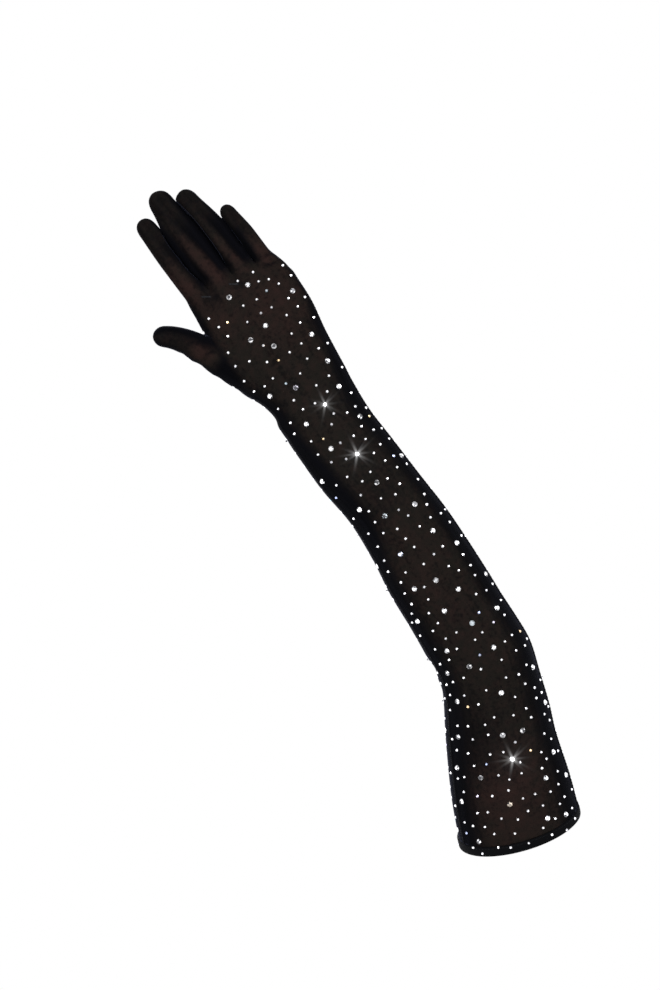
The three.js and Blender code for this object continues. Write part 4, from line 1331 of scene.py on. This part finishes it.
def hem_profile():
    """The band's section as distances along and out: a flat inner face and a crowned outer face."""
    corner = np.radians([0, 30, 60, 90])
    middle_out, half_out = (HEM_OUT - HEM_IN) / 2, (HEM_OUT + HEM_IN) / 2
    low = [(HEM_ROUND * (1 - math.sin(t)), middle_out + half_out * math.cos(t)) for t in corner]
    crown = [(HEM_WIDTH * s, HEM_OUT + HEM_CROWN * math.sin(math.pi * s)) for s in (0.35, 0.5, 0.7)]
    corner_round = HEM_UPPER_ROUND
    high = [
        (HEM_WIDTH - corner_round * (1 - math.cos(t)), HEM_OUT - corner_round * (1 - math.sin(t)))
        for t in corner
    ]
    inner_low = [(along, 2 * middle_out - out) for along, out in low[:-1]]
    return low[::-1] + crown + high[::-1] + [(HEM_WIDTH, -HEM_IN)] + inner_low


def hem_ring(degrees):
    """The band's section at one angle round the cuff."""
    return np.array([sleeve_points(along, degrees, out) for along, out in hem_profile()])


def stitch(name, length, thick):
    """A short round thread with drawn-in ends, lying along Y on the cloth."""
    deselect_all()
    bpy.ops.mesh.primitive_cylinder_add(
        vertices=6, radius=thick / 2 * MM, depth=length * 0.6 * MM, rotation=(math.pi / 2, 0, 0))
    thread = bpy.context.object
    thread.name = name
    bpy.ops.object.transform_apply(rotation=True)
    bpy.ops.object.mode_set(mode="EDIT")
    for end in (-1, 1):
        bpy.ops.mesh.select_all(action="DESELECT")
        bm = bmesh.from_edit_mesh(thread.data)
        for face in bm.faces:
            if face.normal.y * end > 0.9:
                face.select_set(True)
        bmesh.update_edit_mesh(thread.data)
        step = (0, end * length * 0.2 * MM, -thick * 0.3 * MM)
        bpy.ops.mesh.extrude_region_move(TRANSFORM_OT_translate={"value": step})
        bpy.ops.transform.resize(value=(0.5, 1, 0.5))
    bpy.ops.object.mode_set(mode="OBJECT")
    return thread


class GLOVE_OT_hem(bpy.types.Operator):
    """Makes the doubled band round the open cuff and its row of stitches"""
    bl_idname = "glove.hem"
    bl_label = "Cuff hem"

    def execute(self, context):
        props = context.scene.glove_cloth
        band = lofted("cuff_hem_band", [hem_ring(d) for d in np.arange(180) * 2], closed=True)
        make_active(band)
        bpy.ops.object.shade_smooth_by_angle(angle=math.radians(50))
        doubled = band_material("doubled_mesh", props.hem, props.dense, 0.04, 0.01)
        finished(band, doubled, ("cuff_hem",))
        at = HEM_WIDTH - HEM_STITCH_INSET
        places = []
        for degrees in angles_round(at, int(lengths_round(at)[-1] / HEM_STITCH_STEP), 0.0):
            point, facing, up = sleeve_seat(at, degrees, HEM_OUT + HEM_STITCH_RISE)
            places.append(seat_matrix(point, facing, np.cross(up, facing)))
        stitches = copies("hem_stitches", stitch("hem_stitch", *HEM_STITCH), places)
        finished(stitches, band_material("hem_thread", props.thread, props.dense, 0.1, 0.02))
        return {"FINISHED"}


def seam_ring(along, degrees):
    """A section of a seam's ridge: flat under, rounded above, standing on the cloth."""
    here, there = sleeve_points(along, degrees), sleeve_points(along, degrees + 1)
    per_degree = np.linalg.norm(there - here)
    half = SEAM_WIDTH / 2
    turns = np.linspace(0, math.pi, 7)
    section = [(half * math.cos(t), SEAM_SPRING + SEAM_RISE * math.sin(t)) for t in turns]
    section += [(-half * SEAM_FOOT_SHARE, -SEAM_FOOT), (half * SEAM_FOOT_SHARE, -SEAM_FOOT)]
    return np.array([sleeve_points(along, degrees + side / per_degree, out) for side, out in section])


def make_seam(name, degrees, top, replaced, material, thread):
    """A side seam from the hem up to a height along the sleeve, with its row of stitches."""
    lower = HEM_WIDTH + SEAM_HEM_GAP
    rings = []
    for along in np.linspace(lower, top, int((top - lower) / SEAM_RING_STEP)):
        ring = seam_ring(along, degrees)
        ends = min(along - lower, top - along)
        if ends < SEAM_END:
            narrower = 1 - SEAM_END_SHRINK + SEAM_END_SHRINK * ends / SEAM_END
            ring = ring.mean(0) + (ring - ring.mean(0)) * narrower
        rings.append(ring)
    ridge = lofted(name, rings)
    make_active(ridge)
    bpy.ops.object.shade_smooth_by_angle(angle=math.radians(60))
    finished(ridge, material, (replaced,))
    places = []
    first, last = lower + SEAM_STITCH_ENDS[0], top - SEAM_STITCH_ENDS[1]
    for along in np.arange(first, last, SEAM_STITCH_STEP):
        point, facing, up = sleeve_seat(along, degrees, SEAM_RISE)
        places.append(seat_matrix(point, facing, np.cross(up, facing) + up * SEAM_STITCH_SLANT))
    stitches = copies(f"{name}_stitches", stitch(f"{name}_stitch", *SEAM_STITCH), places)
    finished(stitches, thread)


def cloth_tree(*names):
    """A search tree of the faces of the cloth and of other pieces."""
    vertices, faces = [], []
    for name in ("glove_cloth", *names):
        mesh = bpy.data.objects[name].data
        start = len(vertices)
        vertices += [v.co.copy() for v in mesh.vertices]
        faces += [tuple(i + start for i in p.vertices) for p in mesh.polygons]
    return BVHTree.FromPolygons(vertices, faces)


class GLOVE_OT_seams(bpy.types.Operator):
    """Makes the two side seams with their stitches and the bar tacks below the fingers"""
    bl_idname = "glove.seams"
    bl_label = "Side seams"

    def execute(self, context):
        props = context.scene.glove_cloth
        roll = band_material("rolled_mesh", props.thread, props.dense, 0.06, 0.03)
        thread = band_material("seam_thread", props.thread, props.dense, 0.12, 0.04)
        below_thumb = along_at_height(SEAM_THUMB_TOP_Z)
        make_seam("thumb_side_seam", SEAM_THUMB_SIDE, below_thumb, "seam_thumb_side", roll, thread)
        top = SLEEVE_LENGTH - SEAM_TOP_ROOM
        make_seam("little_finger_seam", SEAM_LITTLE_SIDE, top, "seam_little_finger_side", roll, thread)
        tree = cloth_tree()
        slope = np.array([1, 0, TACK_SLOPE]) / math.hypot(1, TACK_SLOPE)
        places = []
        for x, z in each(TACKS):
            for step in np.linspace(-0.5, 0.5, TACK_STITCHES):
                start = Vector(np.array([x, BEFORE_PALM, z]) + slope * step * TACK_LENGTH) * MM
                hit, facing, _, _ = tree.ray_cast(start, Vector((0, 1, 0)))
                if hit is None:
                    raise RuntimeError("a bar tack misses the cloth")
                point = np.array(hit) / MM + np.array(facing) * TACK_STITCH_RISE
                slant = np.cross(slope, facing) + slope * TACK_STITCH_SLANT
                places.append(seat_matrix(point, facing, slant))
        tacks = copies("finger_bar_tacks", stitch("bar_stitch", *TACK_STITCH), places)
        light = band_material("tack_thread", (0.013, 0.013, 0.015), props.thread, 0.15, 0.05)
        finished(tacks, light)
        return {"FINISHED"}


def seat_on_cloth(tree, along, degrees, reach, sink, size=1.0, turn=0.0):
    """The place of a crystal on the cloth, found from outside and sunk a little into it, or None."""
    point, facing, up = sleeve_seat(along, degrees)
    start = point + facing * (reach + 2)
    hit, normal, _, _ = tree.ray_cast(Vector(start) * MM, -Vector(facing))
    if hit is None or (hit / MM - Vector(point)).length > reach:
        return None
    if normal.dot(Vector(facing)) < SEAT_FACING:
        return None
    facing = np.array(normal) * 2 + facing
    facing /= np.linalg.norm(facing)
    place = seat_matrix(np.array(hit) / MM - facing * sink, facing, up, size)
    return place @ Matrix.Rotation(turn, 4, "Z")


def clear_of_edges(point, along, seam_room, thumb_room, edge_room):
    """True where a crystal doesn't reach a seam, the finger bases or the thumb."""
    to_seam = [np.linalg.norm(point - sleeve_points(along, s)) for s in (SEAM_THUMB_SIDE, SEAM_LITTLE_SIDE)]
    thumb = np.stack([THUMB[c] for c in "xyz"], 1)
    to_thumb = np.linalg.norm(thumb - point, axis=1) - THUMB["half"]
    rim = knuckle_line(point[0]) - point[2]
    return min(to_seam) > seam_room and min(to_thumb) > thumb_room and rim > edge_room


def places_in_rows(first, last, row_step, step_round, use):
    """Scattered places in rows round the sleeve, with every other row set over by half a step."""
    for row in range(int((last - first) / row_step) + 1):
        base = first + row * row_step
        count = int(lengths_round(base)[-1] / step_round + 0.5)
        offsets = np.array([(row % 2) / 2 + SCATTER * scatter(row, k, use) for k in range(count)])
        for k, degrees in enumerate(angles_round(base, count, offsets)):
            yield base + row_step * SCATTER * scatter(row, k, use + 1), float(degrees)


@cache
def stone_places():
    """Places of the large crystals, the given ones first."""
    places = [nearest_place(x, z) for x, z in each(PLACED_STONES)]
    points = [sleeve_points(*place) for place in places]
    rooms = (STONE_WIDTH / 2 + SEAM_WIDTH / 2 + 1, STONE_THUMB_ROOM, STONE_EDGE_ROOM)
    last_row = SLEEVE_LENGTH - STONE_TOP_ROOM
    for along, degrees in places_in_rows(FIRST_STONE_ROW, last_row, STONE_ROW_STEP, STONE_STEP_ROUND, 1):
        point = sleeve_points(along, degrees)
        apart = min(np.linalg.norm(np.array(points) - point, axis=1)) > STONE_ROOM
        inside = along > HEM_WIDTH + STONE_EDGE_ROOM
        if apart and inside and clear_of_edges(point, along, *rooms):
            places.append((along, degrees))
            points.append(point)
    return places


def chip_places(stones):
    """Places of the small crystals, clear of the large ones and of each other."""
    points = [sleeve_points(*place) for place in stones]
    rooms = [CHIP_STONE_ROOM] * len(points)
    places = []
    for along, degrees in places_in_rows(FIRST_CHIP_ROW, SLEEVE_LENGTH, CHIP_ROW_STEP, CHIP_STEP_ROUND, 3):
        along = min(max(along, LOWEST_CHIP), SLEEVE_LENGTH)
        point = sleeve_points(along, degrees)
        apart = np.all(np.linalg.norm(np.array(points) - point, axis=1) > np.array(rooms))
        if apart and clear_of_edges(point, along, CHIP_SEAM_ROOM, CHIP_THUMB_ROOM, CHIP_EDGE_ROOM):
            places.append((along, degrees))
            points.append(point)
            rooms.append(CHIP_ROOM)
    return places


def cut_stone(name, width, height, girdle, table, sides):
    """A crystal standing on the ground: flat back, low girdle, triangular crown facets and a table."""
    deselect_all()
    bpy.ops.mesh.primitive_circle_add(vertices=sides, radius=width / 2 * MM, fill_type="NGON")
    stone = bpy.context.object
    stone.name = name
    bpy.ops.object.mode_set(mode="EDIT")
    bpy.ops.mesh.select_all(action="SELECT")
    bpy.ops.mesh.extrude_region_move(TRANSFORM_OT_translate={"value": (0, 0, girdle * MM)})
    bpy.ops.mesh.extrude_region_move(TRANSFORM_OT_translate={"value": (0, 0, (height - girdle) * MM)})
    bpy.ops.transform.resize(value=(table, table, 1))
    turn = Matrix.Rotation(math.pi / sides, 3, "Z")
    bm = bmesh.from_edit_mesh(stone.data)
    for vertex in bm.verts:
        if vertex.select:
            vertex.co = turn @ vertex.co
    bmesh.update_edit_mesh(stone.data)
    bpy.ops.mesh.select_all(action="DESELECT")
    bm = bmesh.from_edit_mesh(stone.data)
    for face in bm.faces:
        heights = [vertex.co.z for vertex in face.verts]
        if min(heights) > 0 and max(heights) - min(heights) > girdle * MM:
            face.select_set(True)
    bmesh.update_edit_mesh(stone.data)
    bpy.ops.mesh.quads_convert_to_tris(quad_method="SHORTEST_DIAGONAL")
    bpy.ops.mesh.select_all(action="SELECT")
    bpy.ops.mesh.normals_make_consistent(inside=False)
    bpy.ops.object.mode_set(mode="OBJECT")
    return stone


def tint_stones(piece, count, props, use):
    """Writes each crystal's colour: most are clear and a few flash in a colour."""
    per_stone = len(piece.data.vertices) // count
    colours = np.ones((count, 4), np.float32)
    for k in range(count):
        colours[k, :3] = tuple(props.clear)
        if (scatter(k, 7, use) + 1) / 2 < props.tinted:
            colours[k, :3] = FLASHES[int((scatter(k, 8, use) + 1) / 2 * len(FLASHES)) % len(FLASHES)]
    layer = piece.data.attributes.new("tint", "FLOAT_COLOR", "POINT")
    layer.data.foreach_set("color", np.repeat(colours, per_stone, 0).ravel())


def crystal_field(name, places, tree, reach, sink, uneven, use, cut, flash, props):
    """A piece with a copy of one cut crystal at each place where the cloth is in reach."""
    seats = []
    for k, place in enumerate(places):
        size, turn = 1 + uneven * scatter(k, 2, use), scatter(k, 1, use) * 3
        seats.append(seat_on_cloth(tree, *place, reach, sink, size, turn))
    seats = [seat for seat in seats if seat]
    stones = copies(f"{name}_crystals", cut_stone(f"{name}_stone", *cut), seats)
    tint_stones(stones, len(seats), props, use + 3)
    finished(stones, crystal_material(f"crystal_{name}", *flash))


class GLOVE_OT_large_crystals(bpy.types.Operator):
    """Cuts the large crystals of the sides and back and finishes the loose ones of the palm side"""
    bl_idname = "glove.large_crystals"
    bl_label = "Large crystals"

    def execute(self, context):
        props = context.scene.glove_crystals
        clear = crystal_material("crystal_clear", *LARGE_FLASH, tuple(props.clear))
        tinted = []
        for i, colour in enumerate(FLASHES):
            paler = tuple((part + 1) / 2 for part in colour)
            tinted.append(crystal_material(f"crystal_flash_{i + 1}", *LARGE_FLASH, paler))
        for k, name in enumerate(LOOSE_STONES):
            is_tinted = (scatter(k, 5, 5) + 1) / 2 < props.tinted
            material = tinted[k % len(tinted)] if is_tinted else clear
            # These crystals get painted glints: they glow white on their table
            if name in GLINTS:
                glow = props.glow * GLINTS[name]
                material = crystal_material(f"crystal_glint_{k + 1}", *LARGE_FLASH, tuple(props.clear), glow)
            frame["nodes"][name].material_slots[0].material = material
        places = stone_places()
        loose = [p for p in places if angle_between(p[1], 270) < LOOSE_STONE_REACH]
        if len(loose) != len(LOOSE_STONES):
            raise RuntimeError(f"{len(loose)} places for {len(LOOSE_STONES)} loose crystals")
        rest = [p for p in places if p not in loose]
        cut = (STONE_WIDTH, STONE_HEIGHT, STONE_GIRDLE, STONE_TABLE_SHARE, STONE_SIDES)
        crystal_field(
            "large", rest, cloth_tree(), STONE_SEAT_REACH, STONE_SINK, 0, 6, cut, LARGE_FLASH, props)
        return {"FINISHED"}


class GLOVE_OT_small_crystals(bpy.types.Operator):
    """Scatters the small crystals over the sleeve, the palm, the back and the hem"""
    bl_idname = "glove.small_crystals"
    bl_label = "Small crystals"

    def execute(self, context):
        props = context.scene.glove_crystals
        tree = cloth_tree("cuff_hem_band")
        cut = (CHIP_WIDTH, CHIP_HEIGHT, CHIP_GIRDLE, CHIP_TABLE_SHARE, CHIP_SIDES)
        crystal_field(
            "small", chip_places(stone_places()), tree, CHIP_SEAT_REACH, CHIP_SINK, CHIP_UNEVEN, 7, cut,
            SMALL_FLASH, props)
        return {"FINISHED"}


def stage_lights():
    """A white room, brighter in mirrors than on the cloth, and three soft lamps."""
    world = bpy.data.worlds.new("studio_white")
    world.use_nodes = True
    tree = world.node_tree
    tree.nodes.clear()
    output = node(tree, "ShaderNodeOutputWorld")
    path = node(tree, "ShaderNodeLightPath")
    last = node(tree, "ShaderNodeBackground", Color=(0.93, 0.96, 1, 1), Strength=0.55)
    for ray, colour, strength in (
        ("Is Glossy Ray", (0.97, 0.98, 1, 1), 1.5),
        ("Is Camera Ray", (1, 1, 1, 1), 1.0),
    ):
        seen = node(tree, "ShaderNodeBackground", Color=colour, Strength=strength)
        mix = node(tree, "ShaderNodeMixShader")
        tree.links.new(path.outputs[ray], mix.inputs[0])
        tree.links.new(last.outputs[0], mix.inputs[1])
        tree.links.new(seen.outputs[0], mix.inputs[2])
        last = mix
    tree.links.new(last.outputs[0], output.inputs[0])
    bpy.context.scene.world = world
    for name, place, target, size, watts in (
        ("key", (-0.9, -1.8, 1.3), (-0.02, 0, -0.05), 1.3, 46),
        ("fill", (1.5, -1.4, 0.1), (-0.02, 0, -0.1), 1.4, 22),
        ("back", (0.3, 1.6, 1.0), (-0.02, 0, -0.05), 1.2, 24),
    ):
        light = bpy.data.lights.new(name, "AREA")
        light.shape, light.size, light.energy = "DISK", size, watts
        lamp = bpy.data.objects.new(name, light)
        bpy.context.scene.collection.objects.link(lamp)
        lamp.location = place
        lamp.rotation_euler = (Vector(target) - Vector(place)).to_track_quat("-Z", "Y").to_euler()


# The photograph's frame: millimetres for each pixel, its middle, and the camera's distance
PIXEL = 0.72
FRAME_HEIGHT = 990 * PIXEL * MM
VIEW_MIDDLE = (-0.0328, 0.0, -0.0677)
CAMERA_DISTANCE = 2.5
SENSOR = 36


def add_camera():
    """A camera in front of the palm, turned so that the glove lies slanted as in the photograph."""
    data = bpy.data.cameras.new("camera")
    data.sensor_width = SENSOR
    data.lens = SENSOR * CAMERA_DISTANCE / FRAME_HEIGHT
    camera = bpy.data.objects.new("camera", data)
    bpy.context.scene.collection.objects.link(camera)
    right, up, back = Vector((0.8, 0, -0.6)), Vector((0.6, 0, 0.8)), Vector((0, -1, 0))
    turn = Matrix((right, up, back)).transposed().to_4x4()
    camera.matrix_world = Matrix.Translation(Vector(VIEW_MIDDLE) + back * CAMERA_DISTANCE) @ turn
    bpy.context.scene.camera = camera


def add_floor():
    """A pale round floor well below the cuff."""
    deselect_all()
    bpy.ops.mesh.primitive_circle_add(vertices=96, radius=1.4, fill_type="NGON", location=(0, -0.1, -0.8))
    floor = bpy.context.object
    floor.name = floor.data.name = "floor"
    bpy.ops.object.transform_apply(location=True)
    material, tree, shader = new_material("pale_floor")
    place = node(tree, "ShaderNodeTexCoord").outputs["Object"]
    colour = mix_colour(tree, noise(tree, place, 6.0), (0.86, 0.86, 0.87), (0.9, 0.9, 0.9))
    tree.links.new(colour, shader.inputs["Base Color"])
    shader.inputs["Roughness"].default_value = 0.9
    floor.data.materials.append(material)


def add_glare():
    """A soft glow and two sets of star rays round the brightest crystals."""
    scene = bpy.context.scene
    scene.use_nodes = True
    tree = scene.node_tree
    tree.nodes.clear()
    last = node(tree, "CompositorNodeRLayers").outputs["Image"]
    glows = [{"glare_type": "BLOOM", "Strength": 0.6, "Size": 0.2}]
    rays = {"glare_type": "STREAKS", "Strength": 0.25, "Iterations": 3, "Color Modulation": 0.0}
    for count, angle, fade in ((5, 8, 0.81), (7, 33, 0.76)):
        glows.append({**rays, "Streaks": count, "Streaks Angle": math.radians(angle), "Fade": fade})
    for settings in glows:
        glare = node(tree, "CompositorNodeGlare", quality="HIGH", Threshold=GLARE_THRESHOLD, **settings)
        tree.links.new(last, glare.inputs["Image"])
        last = glare.outputs["Image"]
    tree.links.new(last, node(tree, "CompositorNodeComposite").inputs["Image"])


class GLOVE_OT_stage(bpy.types.Operator):
    """Sets the pale floor, the soft lights and the camera"""
    bl_idname = "glove.stage"
    bl_label = "Stage"

    def execute(self, context):
        add_floor()
        stage_lights()
        add_camera()
        add_glare()
        context.scene.view_settings.view_transform = "Standard"
        return {"FINISHED"}


class GLOVE_PT_panel(bpy.types.Panel):
    """Lists the pieces of the glove"""
    bl_idname = "GLOVE_PT_panel"
    bl_label = "Rhinestone glove"
    bl_space_type = "VIEW_3D"
    bl_region_type = "UI"
    bl_category = "Glove"

    def draw(self, context):
        for operator in OPERATORS:
            self.layout.operator(operator.bl_idname)
        for name in GloveClothProps.__annotations__:
            self.layout.prop(context.scene.glove_cloth, name)
        for name in GloveCrystalProps.__annotations__:
            self.layout.prop(context.scene.glove_crystals, name)


OPERATORS = (
    GLOVE_OT_cloth, GLOVE_OT_hem, GLOVE_OT_seams, GLOVE_OT_large_crystals, GLOVE_OT_small_crystals,
    GLOVE_OT_stage,
)
CLASSES = (GloveClothProps, GloveCrystalProps, *OPERATORS, GLOVE_PT_panel)


def register():
    for kind in CLASSES:
        bpy.utils.register_class(kind)
    bpy.types.Scene.glove_cloth = bpy.props.PointerProperty(type=GloveClothProps)
    bpy.types.Scene.glove_crystals = bpy.props.PointerProperty(type=GloveCrystalProps)


def unregister():
    del bpy.types.Scene.glove_crystals
    del bpy.types.Scene.glove_cloth
    for kind in reversed(CLASSES):
        bpy.utils.unregister_class(kind)


def main():
    register()
    bpy.ops.glove.cloth()
    bpy.ops.glove.hem()
    bpy.ops.glove.seams()
    bpy.ops.glove.large_crystals()
    bpy.ops.glove.small_crystals()
    bpy.ops.glove.stage()


if __name__ == "__main__":
    main()
